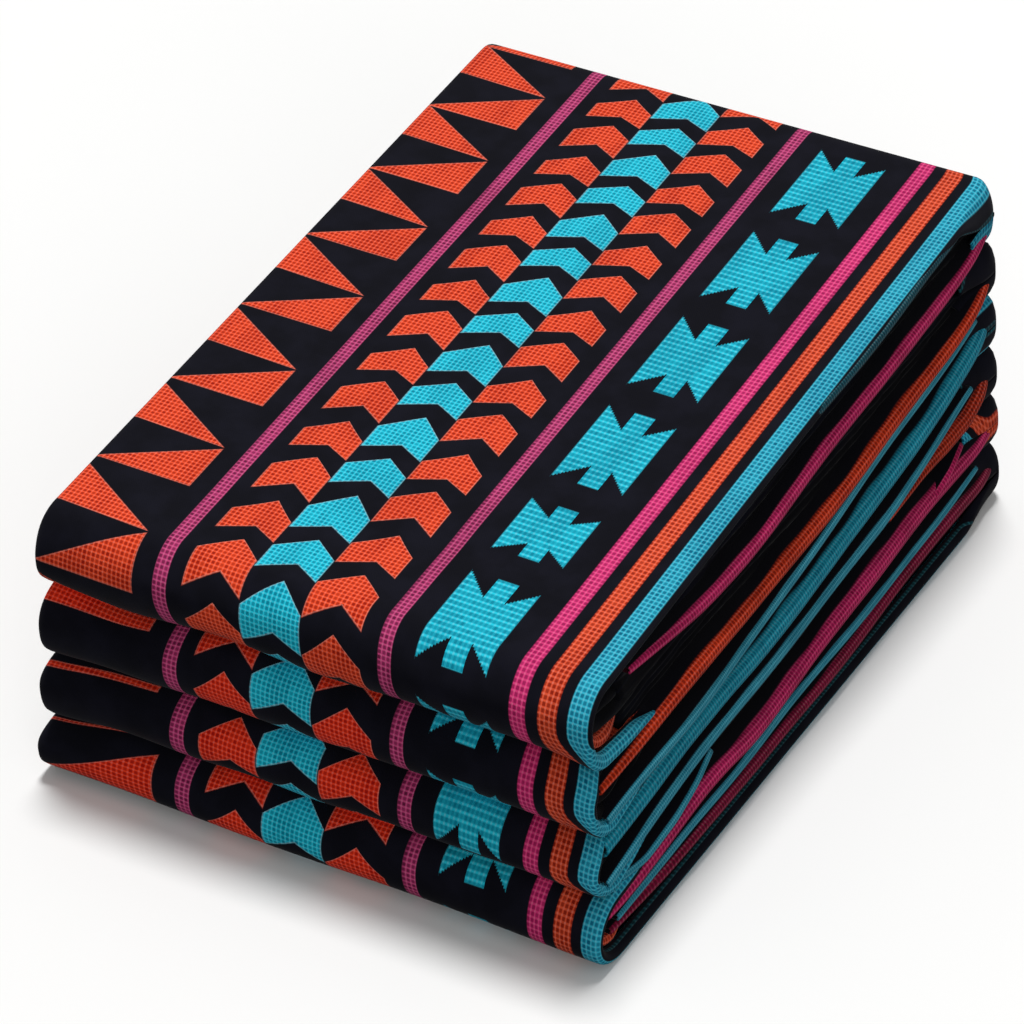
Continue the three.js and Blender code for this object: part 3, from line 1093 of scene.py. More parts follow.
@dataclass(frozen=True)
class ShadedLayerEdges:
    """The edges of the layers inside the pile, painted near-black as shade in the recess, darker than
    the cloth's ground, with faint maroon and navy streaks of painted tinted shade.
    """

    name: str = "Shaded Layered Edges"
    rise: float = 0.09    # slope of the layers from the front to the back
    streak_rates: tuple[float, float, float] = (40.0, 5.0, 420.0)
    tint_rates: tuple[float, float, float] = (9.0, 2.0, 60.0)

    def build(self, effects: Effects) -> bpy.types.Material:
        """Builds the finish.

        Args:
            effects: the shared node groups; not used.

        Returns:
            The material.
        """
        material, tree, shader = new_material(self.name)
        spot = tree.nodes.new("ShaderNodeTexCoord")
        parts = tree.nodes.new("ShaderNodeSeparateXYZ")
        tree.links.new(spot.outputs["Object"], parts.inputs[0])
        x, y, z = (Wire(tree, socket) for socket in parts.outputs)
        level = z - y * self.rise
        streak, tint = (
            noise_at(vector_of(tree, x * rates[0], y * rates[1], level * rates[2]), 1.0, detail)
            for rates, detail in ((self.streak_rates, 2.0), (self.tint_rates, 1.0))
        )
        # Painted shade: near-black layers, darker than the cloth's ground, with maroon and navy
        # streaks that stand in for tinted shade in the recess.
        shade_tint = mix_colour(tint.soft(0.45, 0.6), linear(9, 12, 24), linear(32, 8, 14))
        colour = mix_colour(streak.soft(0.45, 0.75), linear(5, 5, 9), shade_tint)
        plug(tree, colour, shader.inputs["Base Color"])
        plug(tree, streak * 0.1 + 0.85, shader.inputs["Roughness"])
        add_relief(tree, shader, streak, 0.8 * MM)
        return material


# ------------------------------------------------------------------ folds, turns and panels

@dataclass(frozen=True)
class FrontFold:
    """A fold at the front: shares of its rounded end and its legs, and its upper leg's length."""

    nose: tuple[float, float]
    legs: tuple[float, float]
    behind: float
    upper: float = 66 * MM


@dataclass(frozen=True)
class BackTurn:
    """A turn at the back: its shares, its place ahead, and the stripe that its end shows."""

    shares: tuple[float, float]
    ahead: float
    end_shift: float


FRONT_FOLDS = {
    "top_stretch": FrontFold((0.0, 0.282), (0.0, 0.334), 0.0),
    "front_fold_2": FrontFold((0.284, 0.539), (0.308, 0.482), 1.5 * MM, 32 * MM),
    "front_fold_3": FrontFold((0.539, 0.759), (0.498, 0.660), 2.0 * MM, 32 * MM),
    "base_stretch": FrontFold((0.761, 1.0), (0.742, 1.0), 2.0 * MM),
}

BACK_TURNS = {
    "top_stretch": BackTurn((0.0, 0.191), 0.5 * MM, 0.0),
    "back_turn_2": BackTurn((0.192, 0.355), 0.5 * MM, 14.0),
    "back_turn_3": BackTurn((0.355, 0.519), 1.0 * MM, 3.0),
    "back_turn_4": BackTurn((0.519, 0.675), 1.0 * MM, 28.0),
    "back_turn_5": BackTurn((0.675, 0.827), 0.0, -24.0),
    "base_stretch": BackTurn((0.828, 1.0), 1.5 * MM, 30.0),
}


@dataclass(frozen=True)
class Cut:
    """How a stretch of cloth is laid along its route.

    Its fields are the route's start on the cloth, the rolled sides, how far the sides lie inside
    the pile's own, how far the right side slips in at both ends, how far the pattern is drawn out
    under a nose, the turn at the back that closes as a pillow, the soft creases, and if only the
    sides need fine steps.
    """

    start: float
    left: Roll
    right: Roll
    inset: float = 0.0
    tuck: tuple[float, float] = (0.0, 0.0)
    peek: float = 0.0
    turn_back: BackTurn | None = None
    troughs: tuple[Trough, ...] = ()
    sparse: bool = False


# Spans of the flat cloth, from its lengthwise fold.
PEEK_SPAN = (258 * MM, 284 * MM)
TURN_SPAN = (240 * MM, 280 * MM)
SLIDE_SPAN = (0.0, 85 * MM)
HELD_SPAN = (190 * MM, 292 * MM)


@dataclass
class Folding:
    """Works out the routes and sheets of every stretch of cloth in the pile."""

    pile: Pile
    front_legs: float = 66 * MM
    back_legs: float = 24 * MM
    front_nose: float = 22 * MM
    back_nose: float = 9 * MM
    fullness: tuple[float, float] = (2.1, 3.0)
    cloth: float = 1.3 * MM
    slide: float = 11.8 * MM
    held: float = 0.82    # share of the slide that the right border lacks
    step: float = 2.5 * MM
    sparse_step: float = 26 * MM
    side_step: float = 1.0 * MM
    side_margin: float = 15 * MM
    closing: tuple[float, float] = (45 * MM, 8 * MM)
    narrowing: tuple[float, float] = (32 * MM, 2 * MM)
    slip_reach: float = 34 * MM
    slip_width: float = 60 * MM

    @staticmethod
    def rounded(middle: float, tip: float, top: float, bottom: float, fullness: float,
                ) -> list[tuple[float, float]]:
        """Points of a rounded end, from its top to its bottom.

        Args:
            middle: depth at which the round starts.
            tip: depth of its foremost or hindmost point.
            top: height of its top.
            bottom: height of its bottom.
            fullness: 2 for an ellipse, and more for a squarer end.

        Returns:
            Depth and height of each point.
        """
        points = []
        for angle in np.linspace(math.pi / 2, -math.pi / 2, 41):
            reach = abs(math.cos(angle)) ** (2 / fullness)
            rise = math.copysign(abs(math.sin(angle)) ** (2 / fullness), math.sin(angle))
            points.append((middle + (tip - middle) * reach,
                           (top + bottom) / 2 + (top - bottom) / 2 * rise))
        return points

    def front_points(self, fold: FrontFold, inset: float, legs: float) -> list[tuple[float, float]]:
        """Lists a front fold's points.

        Args:
            fold: the fold.
            inset: how far inside the fold they lie.
            legs: length of its legs.

        Returns:
            Points along its upper leg, its rounded end and its lower leg.
        """
        pile = self.pile
        tip = pile.front - pile.front_proud + fold.behind + inset
        middle = tip + self.front_nose - inset * 0.5
        top, bottom = (pile.level(share, middle) for share in fold.nose)
        start, end = pile.front + min(legs, fold.upper), pile.front + legs
        high, low = pile.level(fold.legs[0], start), pile.level(fold.legs[1], end)
        squeeze = inset * 0.92
        return [(start, high - squeeze),
                *self.rounded(middle, tip, top - squeeze, bottom + squeeze, self.fullness[0]),
                (end, low + squeeze)]

    def back_points(self, turn: BackTurn, inset: float, legs: float) -> list[tuple[float, float]]:
        """Lists the points of a turn at the back.

        Args:
            turn: the turn.
            inset: how far inside the turn they lie.
            legs: length of its legs.

        Returns:
            Points from its top leg round to its lower one.
        """
        pile = self.pile
        tip = pile.back + pile.back_proud - turn.ahead - inset
        middle = tip - self.back_nose + inset * 0.5
        top, bottom = (pile.level(share, middle) for share in turn.shares)
        end = pile.back - legs
        high, low = (pile.level(share, end) for share in turn.shares)
        squeeze = inset * 0.92
        return [(end, high - squeeze),
                *self.rounded(middle, tip, top - squeeze, bottom + squeeze, self.fullness[1]),
                (end, low + squeeze)]

    def front_route(self, name: str, inset: float = 0.15 * MM, legs: float | None = None) -> Route:
        """Route of a front fold."""
        return Route(self.front_points(FRONT_FOLDS[name], inset, legs or self.front_legs))

    def back_route(self, name: str, inset: float = 0.15 * MM, legs: float | None = None) -> Route:
        """Route of a turn at the back, from its lower leg round to its upper one."""
        points = self.back_points(BACK_TURNS[name], inset, legs or self.back_legs)
        return Route(points[::-1])

    def top_route(self) -> Route:
        """Route of the top stretch: round the back, over the top and round the front."""
        back = self.back_points(BACK_TURNS["top_stretch"], 0.0, self.back_legs)[1:]
        front = self.front_points(FRONT_FOLDS["top_stretch"], 0.0, self.front_legs)[1:]
        return Route(back[::-1] + front)

    def base_route(self) -> Route:
        """Route of the base stretch: round the front, along the ground and up round the back."""
        front = self.front_points(FRONT_FOLDS["base_stretch"], 0.0, self.front_legs)[:-1]
        back = self.back_points(BACK_TURNS["base_stretch"], 0.0, self.back_legs)[:-1]
        return Route(front + back[::-1])

    def sheet(self, name: str, route: Route, cut: Cut,
              ) -> tuple[bpy.types.Mesh, tuple[float, float]]:
        """Lays one stretch of cloth along its route.

        Args:
            name: the mesh's name.
            route: the line that it follows.
            cut: how it is laid there.

        Returns:
            The mesh, and the width and length that the cloth is cut to.
        """
        pile, left, right = self.pile, cut.left.front, cut.right
        along = np.linspace(0.0, route.length, max(8, int(route.length / self.step)) + 1)
        here, outward = route.at(along)
        closed = ramp(here[:, 0], *(pile.back - reach for reach in self.closing))[:, None]
        narrow = self._narrow(along, here)[:, None] * (not cut.sparse)
        quarter = left * math.pi / 2
        width = pile.right - pile.left - 2 * cut.inset
        edge = width - right.front - left + quarter
        across = graded(-quarter - cut.left.under, edge + math.pi * right.front + right.under,
                        self.sparse_step if cut.sparse else self.step, self.side_step,
                        self.side_margin)
        u, s = np.meshgrid(across, along)
        radius = (right.front + (right.back - right.front) * closed) * (1 - 0.8 * narrow)
        x, sunk = self._left_roll(u, left)
        beyond = np.maximum(u - (width - radius - left + quarter), 0)
        turn = np.clip(beyond / radius, 0.0, math.pi)
        past = np.maximum(beyond - math.pi * radius, 0) * (1 - 0.9 * narrow)
        x += radius * np.sin(turn) - beyond - past
        sunk = sunk + radius * (1 - np.cos(turn)) * (1 if cut.turn_back is None else 1 - closed)
        pattern = u - quarter + left
        slip = self._slip(along, route.length, cut.tuck)[:, None]
        x -= slip * ramp(u, edge - self.slip_width, edge)
        for trough in cut.troughs:
            sunk = sunk + trough.press(pattern, cut.start - s)
        inner = here[:, None, :] - outward[:, None, :] * sunk[..., None]
        shift = -self._drawn(pattern, here, outward, cut.peek)
        if cut.turn_back is not None:
            pull = (1 - np.cos(np.minimum(turn, math.pi / 2))) * closed * 0.97
            inner += (self._middle_line(cut.turn_back, here) - here)[:, None, :] * pull[..., None]
            shift += closed * cut.turn_back.end_shift * MM * ramp(pattern, *TURN_SPAN)
        places = np.concatenate([(pile.left + cut.inset + x)[..., None], inner], axis=-1)
        cloth = np.stack([pattern + shift, cut.start - s], axis=-1)
        mesh = cloth_mesh(name, pile.settle(places)[::-1], cloth[::-1])
        return mesh, (float(across[-1] - across[0]), route.length)

    def _narrow(self, along: np.ndarray, here: np.ndarray) -> np.ndarray:
        """Tells where the rolled right side narrows, towards a free end at the front.

        Args:
            along: lengths along the route.
            here: depth and height at each of them.

        Returns:
            0 where it is full and 1 at the free end.
        """
        from_start = along + (here[0, 0] > 0)
        from_end = along[-1] - along + (here[-1, 0] > 0)
        return ramp(np.minimum(from_start, from_end), *self.narrowing)

    @staticmethod
    def _left_roll(u: np.ndarray, radius: float) -> tuple[np.ndarray, np.ndarray]:
        """Rolls cloth under on its left side.

        Args:
            u: places across the cloth, from the outermost line of the roll.
            radius: of the roll.

        Returns:
            The distance from the left, and the depth below the cloth's outer face.
        """
        quarter = math.pi / 2
        angle = np.clip(u / radius, -quarter, quarter)
        flat = np.maximum(u - quarter * radius, 0) + np.maximum(-u - quarter * radius, 0)
        return radius * (1 - np.cos(angle)) + flat, radius * (1 - np.sin(angle))

    def _drawn(self, pattern: np.ndarray, here: np.ndarray, outward: np.ndarray, peek: float,
               ) -> np.ndarray:
        """Tells how far the pattern is drawn to the right by the lean of the folds.

        Args:
            pattern: places across the flat cloth.
            here: depth and height of each row.
            outward: direction out of the cloth at each row.
            peek: how far it is drawn out round the right side under a nose.

        Returns:
            The distance at each place.
        """
        share = np.clip(1.0 - here[:, 1] / self.pile.height(here[:, 0]), 0.0, 1.0)[:, None]
        under_nose = ramp(outward[:, 1], 0.05, -0.85)[:, None]
        leaning = ramp(pattern, *SLIDE_SPAN) * (1 - self.held * ramp(pattern, *HELD_SPAN))
        return under_nose * peek * ramp(pattern, *PEEK_SPAN) + self.slide * share ** 0.75 * leaning

    def _middle_line(self, turn: BackTurn, here: np.ndarray) -> np.ndarray:
        """Finds the middle of a turn at the back.

        Args:
            turn: the turn.
            here: points of its route.

        Returns:
            The middle, level with each of them.
        """
        tip = self.pile.back + self.pile.back_proud - turn.ahead
        y = np.minimum(here[:, 0], tip - self.back_nose)
        top, bottom = (self.pile.level(share, y) for share in turn.shares)
        return np.stack([y, (top + bottom) / 2], axis=-1)

    def _slip(self, along: np.ndarray, length: float, tuck: tuple[float, float]) -> np.ndarray:
        """How far the right side slips in towards each end of a route."""
        reach = self.slip_reach
        return tuck[0] * ramp(along, reach, 0.0) + tuck[1] * ramp(length - along, reach, 0.0)


# ------------------------------------------------------------------ sub-assemblies

@dataclass
class Panels:
    """The top and the base stretch, and the two front folds between them."""

    folding: Folding
    effects: Effects
    left: Roll = Roll(2.8 * MM, 2.8 * MM, 9 * MM)
    right: Roll = Roll(3.2 * MM, 8.5 * MM, 2 * MM)
    peek: float = 8 * MM
    troughs: tuple[Trough, ...] = (
        Trough(150 * MM, 60 * MM, 0.1, 150 * MM, 26 * MM, 0.5 * MM),
        Trough(60 * MM, 300 * MM, 1.2, 170 * MM, 34 * MM, 0.4 * MM),
        Trough(240 * MM, 210 * MM, 1.5, 240 * MM, 22 * MM, 0.45 * MM),
    )
    finishes: dict[str, PatternedCloth] = field(default_factory=lambda: {
        "top_stretch": PatternedCloth("Patterned Cloth Top", triangle_phase=12.3,
                                      chevron_phase=-6.3, spool_phase=16.1, short_spool=1.0),
        "front_fold_2": PatternedCloth("Patterned Cloth Second Fold", chevron_phase=9.7,
                                       spool_phase=51.8, rest=(-90.0, 90.0), bar=(14.1, 28.0),
                                       orange=Yarns.SHADED_ORANGE),
        "front_fold_3": PatternedCloth("Patterned Cloth Third Fold", chevron_phase=18.9,
                                       middle_shift=-5.5, spool_phase=30.0,
                                       rest=(-90.0, 90.0), bar=(14.7, 18.4),
                                       orange=Yarns.SHADED_ORANGE),
        "base_stretch": PatternedCloth("Patterned Cloth Base", triangle_phase=32.0,
                                       chevron_phase=19.0, spool_phase=61.7, rest=(33.5, 90.0),
                                       bar=(36.2, 37.8), orange=Yarns.SHADED_ORANGE),
    })

    def build(self) -> None:
        folding = self.folding
        top = folding.top_route()
        nose = top.length_at(folding.pile.front + 20 * MM, after=0.2)
        self._finish("top_stretch", folding.sheet("top_cloth", top, Cut(
            nose + 20 * MM, self.left, self.right, tuck=(2 * MM, 2 * MM), peek=self.peek,
            turn_back=BACK_TURNS["top_stretch"], troughs=self.troughs,
        )))
        for name, tuck in (("front_fold_2", 9 * MM), ("front_fold_3", 7 * MM)):
            route = folding.front_route(name)
            middle = (route.length + FRONT_FOLDS[name].upper - folding.front_legs) / 2
            sheet = folding.sheet(name.replace("front_fold", "fold_cloth"), route, Cut(
                middle, self.left, self.right, inset=0.4 * MM, tuck=(tuck, 2 * MM), peek=self.peek,
            ))
            self._finish(name, sheet)
        self._finish("base_stretch", folding.sheet("base_cloth", folding.base_route(), Cut(
            folding.front_legs + 26 * MM, self.left, self.right, tuck=(4 * MM, 2 * MM),
            turn_back=BACK_TURNS["base_stretch"],
        )))

    def _finish(self, node: str, sheet: tuple[bpy.types.Mesh, tuple[float, float]]) -> None:
        """Args:
            node: the node that it stands for.
            sheet: its mesh, and the size that it was cut to.
        """
        mesh, flat = sheet
        material = self.finishes[node].build(self.effects)
        piece = finish_cloth(mesh, self.folding.cloth, [material])
        declare(piece, [node])


@dataclass
class BackTurns:
    """The four turns at the back between the top and the base stretch."""

    folding: Folding
    effects: Effects
    left: Roll = Roll(2.8 * MM, 2.8 * MM, 7 * MM)
    right: Roll = Roll(6.5 * MM, 6.5 * MM, 1 * MM)

    def build(self) -> None:
        finish = PatternedCloth("Patterned Cloth Turns", triangle_phase=20.0, chevron_phase=9.0,
                                spool_phase=30.0)
        material = finish.build(self.effects)
        for index in range(2, 6):
            name = f"back_turn_{index}"
            route = self.folding.back_route(name, legs=34 * MM)
            mesh, flat = self.folding.sheet(name.replace("back_turn", "turn_cloth"), route, Cut(
                (140 + 67 * index) * MM, self.left, self.right, inset=0.5 * MM,
                tuck=(4 * MM, 4 * MM), turn_back=BACK_TURNS[name],
            ))
            piece = finish_cloth(mesh, self.folding.cloth, [material])
            declare(piece, [name])


def widths(points: np.ndarray) -> tuple[np.ndarray, np.ndarray]:
    """Measures cloth across.

    Args:
        points: rows of points, each across the cloth.

    Returns:
        The width of cloth from each row's first point, and from its middle one.
    """
    girth = np.linalg.norm(np.diff(points, axis=1), axis=-1)
    width = np.concatenate([np.zeros((len(points), 1)), np.cumsum(girth, axis=1)], axis=1)
    return width, width - width[:, points.shape[1] // 2][:, None]


@dataclass(frozen=True)
class Station:
    """A place on a turned edge: its depth behind the front, its share, height and standing out."""

    y: float
    share: float
    half: float
    proud: float = 0.0


@dataclass(frozen=True)
class TurnedEdge:
    """A turned edge on the right side of the pile, which runs as a soft ridge along it."""

    name: str
    node: str
    slot: Slot
    finish: str
    depth: float
    line: tuple[Station, ...]
    phase: float = 0.0
    STEP = 2.8 * MM
    TAILS = (1.9, 1.5, 1.2)    # the cloth's run into the pile, in half rounds
    TAIL = 9 * MM

    def mesh(self, folding: Folding) -> tuple[bpy.types.Mesh, tuple[float, float]]:
        """Lays the edge's cloth round its ridge.

        Args:
            folding: the pile's folding.

        Returns:
            The mesh, and the width and length that the cloth is cut to.
        """
        pile = folding.pile
        places = [station.y for station in self.line]
        start, end = places[0] * MM, places[-1] * MM
        y = np.linspace(start, end, int((end - start) / self.STEP) + 1)
        share, half, proud = (
            stations(y / MM, places, [getattr(station, label) for station in self.line])
            for label in ("share", "half", "proud")
        )
        half = half * MM * (1 + sway(y, 0.07, 61, self.phase) + sway(y, 0.05, 143))
        depth = np.minimum(self.depth, half * 1.2)
        out = proud * MM + sway(y, 0.5 * MM, 43, self.phase * 2)
        tails = np.array(self.TAILS)
        across = np.concatenate([tails, np.linspace(1.0, -1.0, 21), -tails[::-1]])
        side, run = np.meshgrid(across, y)
        angle = np.clip(side, -1, 1) * math.pi / 2
        tail = np.maximum(np.abs(side) - 1, 0) * self.TAIL
        x = pile.right + out[:, None] - depth[:, None] * (1 - np.cos(angle) ** 0.8) - tail
        level = (pile.level(share, pile.front + y) + sway(y, 0.7 * MM, 29, self.phase * 3))[:, None]
        z = level + half[:, None] * np.sin(angle) - np.sign(side) * tail * 0.12
        ground = folding.cloth * 0.4
        points = np.stack([x, pile.front + run, np.maximum(z, ground)], axis=-1)
        width, flat = widths(points)
        cloth = np.stack([-flat, run], axis=-1)
        band = np.stack([side, run / (end - start)], axis=-1)
        mesh = cloth_mesh(self.name, pile.settle(points)[:, ::-1], cloth[:, ::-1], band[:, ::-1])
        return mesh, (float(width[:, -1].mean()), float(end - start))


EDGES = (
    TurnedEdge("edge_magenta_upper", "border_magenta_upper", Slot.MAGENTA, "magenta", 6 * MM, (
        Station(42, 0.100, 0.8, -4.0), Station(63, 0.118, 1.6, -2.0), Station(85, 0.140, 2.4, -0.5),
        Station(112, 0.163, 2.8, 0.0), Station(160, 0.178, 3.2, 0.0), Station(252, 0.168, 3.3, 0.0),
        Station(324, 0.153, 3.3, 0.0), Station(373, 0.156, 3.0, 0.5), Station(405, 0.150, 2.4, -0.5),
        Station(424, 0.140, 1.0, -5.0),
    ), 0.4),
    TurnedEdge("edge_orange", "border_orange", Slot.ORANGE, "orange", 6 * MM, (
        Station(12, 0.366, 1.2, -3.0), Station(30, 0.358, 2.6, -1.0), Station(56, 0.350, 3.4, 0.0),
        Station(100, 0.345, 3.6, 0.5), Station(156, 0.362, 3.9, 0.5), Station(241, 0.366, 4.2, 0.0),
        Station(330, 0.348, 4.0, 0.5), Station(371, 0.331, 3.6, 0.5), Station(408, 0.298, 2.6, 0.0),
        Station(424, 0.280, 1.2, -5.0),
    ), 1.7),
    TurnedEdge("edge_turquoise", "border_turquoise", Slot.TURQUOISE, "turquoise", 7 * MM, (
        Station(13, 0.584, 3.4, -2.0), Station(40, 0.552, 4.2, -0.5), Station(75, 0.530, 4.6, 0.0),
        Station(153, 0.552, 4.9, 0.5), Station(264, 0.523, 5.0, 0.5), Station(350, 0.480, 5.4, 0.5),
        Station(400, 0.445, 5.2, 0.5), Station(414, 0.434, 4.0, -1.0), Station(425, 0.426, 2.0, -6.0),
    ), 2.9),
    TurnedEdge("edge_magenta_lower", "border_magenta_lower", Slot.MAGENTA, "magenta", 6 * MM, (
        Station(12, 0.822, 1.4, -2.5), Station(26, 0.812, 2.6, 0.0), Station(45, 0.802, 3.2, 0.5),
        Station(74, 0.784, 3.4, 0.8), Station(103, 0.768, 3.8, 0.5), Station(143, 0.788, 4.2, 0.5),
        Station(200, 0.772, 4.4, 0.5), Station(260, 0.758, 4.7, 0.5), Station(322, 0.742, 5.0, 0.5),
        Station(360, 0.746, 3.8, 0.5), Station(400, 0.760, 2.6, 0.0), Station(424, 0.768, 1.0, -5.0),
    ), 4.1),
    TurnedEdge("edge_base", "border_base", Slot.MAGENTA, "dark_magenta", 5 * MM, (
        Station(18, 0.905, 0.8, -4.0), Station(53, 0.893, 1.8, -1.0), Station(90, 0.890, 2.2, 0.0),
        Station(146, 0.916, 2.6, 0.0), Station(260, 0.895, 2.8, 0.0), Station(360, 0.874, 3.2, 0.5),
        Station(408, 0.890, 2.6, 0.0), Station(424, 0.895, 1.0, -5.0),
    ), 5.3),
    # Its finish is dimmed turquoise: painted shade under the top panel.
    TurnedEdge("single_edge_1", "selvedge_1", Slot.TURQUOISE, "shaded_teal", 5 * MM, (
        Station(120, 0.026, 0.5, -3.5), Station(180, 0.022, 1.1, -1.5), Station(246, 0.019, 1.6, -0.5),
        Station(330, 0.020, 2.0, -0.5), Station(370, 0.024, 2.4, -0.5), Station(398, 0.034, 1.6, -3.0),
    ), 0.9),
    TurnedEdge("single_edge_2", "selvedge_2", Slot.TURQUOISE, "pale_turquoise", 4 * MM, (
        Station(14, 0.490, 1.2, -1.0), Station(30, 0.474, 1.5, 0.0), Station(59, 0.470, 1.6, 0.5),
        Station(90, 0.474, 1.7, 0.5), Station(160, 0.446, 1.7, 0.5), Station(240, 0.408, 1.6, 0.5),
        Station(330, 0.374, 1.4, 0.0), Station(398, 0.349, 0.8, -1.5),
    ), 2.2),
    TurnedEdge("single_edge_3", "selvedge_3", Slot.TURQUOISE, "pale_turquoise", 4 * MM, (
        Station(10, 0.692, 1.3, -1.0), Station(33, 0.662, 1.7, 0.0), Station(56, 0.644, 1.9, 0.5),
        Station(90, 0.636, 2.0, 0.5), Station(152, 0.627, 2.1, 0.5), Station(289, 0.613, 1.9, 0.5),
        Station(350, 0.580, 1.5, 0.0), Station(393, 0.553, 0.8, -1.5),
    ), 3.6),
    TurnedEdge("single_edge_4", "selvedge_4", Slot.TURQUOISE, "pale_turquoise", 4 * MM, (
        Station(21, 0.872, 0.7, -2.0), Station(49, 0.846, 1.2, 0.0), Station(83, 0.828, 1.5, 0.0),
        Station(147, 0.843, 1.6, 0.0), Station(250, 0.838, 1.6, 0.0), Station(350, 0.832, 1.3, 0.0),
        Station(395, 0.821, 0.7, -1.5),
    ), 4.8),
)

# Slivers that belong to the layers inside the pile.
SLIVERS = (
    TurnedEdge("sliver_orange_back", "hidden_layers", Slot.ORANGE, "dark_orange", 6 * MM, (
        Station(298, 0.652, 1.4, -3.0), Station(335, 0.638, 2.4, -1.0), Station(362, 0.640, 5.0, 0.0),
        Station(386, 0.636, 5.6, 0.5), Station(404, 0.606, 4.0, 0.0), Station(416, 0.592, 1.6, -4.0),
    ), 1.1),
    TurnedEdge("sliver_magenta_back", "hidden_layers", Slot.MAGENTA, "magenta", 5 * MM, (
        Station(320, 0.752, 1.5, -2.0), Station(345, 0.738, 1.8, 0.5), Station(362, 0.712, 1.4, 0.5),
        Station(380, 0.690, 1.3, -2.0),
    ), 2.0),
    TurnedEdge("sliver_fold_4", "hidden_layers", Slot.TURQUOISE, "pale_turquoise", 4 * MM, (
        Station(24, 0.744, 1.4, -2.0), Station(40, 0.748, 1.5, 0.5), Station(66, 0.738, 1.6, 0.5),
        Station(86, 0.708, 1.4, 0.5), Station(104, 0.680, 1.3, -1.0),
    ), 3.0),
)

BANDS = {
    "magenta": BandCloth("Magenta Border", Yarn(linear(218, 44, 112), linear(132, 14, 60)),
                         (1.9, 2.2), shade=linear(48, 6, 18)),
    "dark_magenta": BandCloth("Dark Magenta Border", Yarn(linear(150, 20, 66), linear(84, 8, 32)),
                              (1.9, 2.2)),
    "orange": BandCloth("Orange Border", Yarn(linear(232, 70, 32), linear(128, 20, 5)),
                        (2.1, 2.3)),
    "dark_orange": BandCloth("Shaded Orange Border", Yarn(linear(204, 58, 26), linear(104, 20, 8)),
                             (2.1, 2.3)),
    "turquoise": BandCloth("Turquoise Border", Yarn(linear(40, 178, 202), linear(6, 104, 130)),
                           (2.5, 2.0), ribbed=0.6),
    "pale_turquoise": BandCloth("Turquoise Selvedge", Yarn(linear(66, 168, 190),
                                                           linear(24, 112, 136)),
                                (1.1, 1.3), reach=0.78),
    # Turquoise dimmed: painted shade, for the inner edge that lies in shadow under the top panel.
    "shaded_teal": BandCloth("Shaded Teal Selvedge", Yarn(linear(24, 84, 96), linear(10, 46, 58)),
                      (1.6, 2.0), reach=0.62),
}


@dataclass
class RightSide:
    """The turned and single edges that run along the right side."""

    folding: Folding
    materials: dict[str, bpy.types.Material]

    def build(self) -> None:
        """Builds and declares every edge."""
        for edge in EDGES:
            mesh, flat = edge.mesh(self.folding)
            piece = finish_cloth(mesh, 1.2 * MM, [self.materials[edge.finish]])
            declare(piece, [edge.node])


@dataclass
class InnerFolds:
    """The stretches nested in the first and the last front fold, of which slivers show."""

    folding: Folding
    effects: Effects
    left: Roll = Roll(2.6 * MM, 2.6 * MM, 6 * MM)
    right: Roll = Roll(2.4 * MM, 2.4 * MM, 2 * MM)
    depth: float = 6.2 * MM
    legs: float = 52 * MM
    border_shift: float = -15 * MM
    border_span: tuple[float, float] = (240 * MM, 270 * MM)

    def build(self) -> None:
        """Builds and declares both."""
        finish = PatternedCloth("Inner Cloth", triangle_phase=12.0, chevron_phase=2.0,
                                spool_phase=40.0)
        material = finish.build(self.effects)
        cut = Cut(60 * MM, self.left, self.right, inset=4.5 * MM, tuck=(9 * MM, 9 * MM), sparse=True)
        for index, node in ((1, "top_stretch"), (4, "base_stretch")):
            route = self.folding.front_route(node, inset=self.depth, legs=self.legs)
            mesh, flat = self.folding.sheet(f"inner_cloth_{index}", route, cut)
            cloth = mesh.uv_layers["Cloth"]
            values = np.empty(len(mesh.loops) * 2)
            cloth.data.foreach_get("uv", values)
            values = values.reshape(-1, 2)
            values[:, 0] += self.border_shift * ramp(values[:, 0], *self.border_span)
            cloth.data.foreach_set("uv", values.ravel())
            piece = finish_cloth(mesh, 1.2 * MM, [material])
            declare(piece, [f"inner_fold_{index}"])


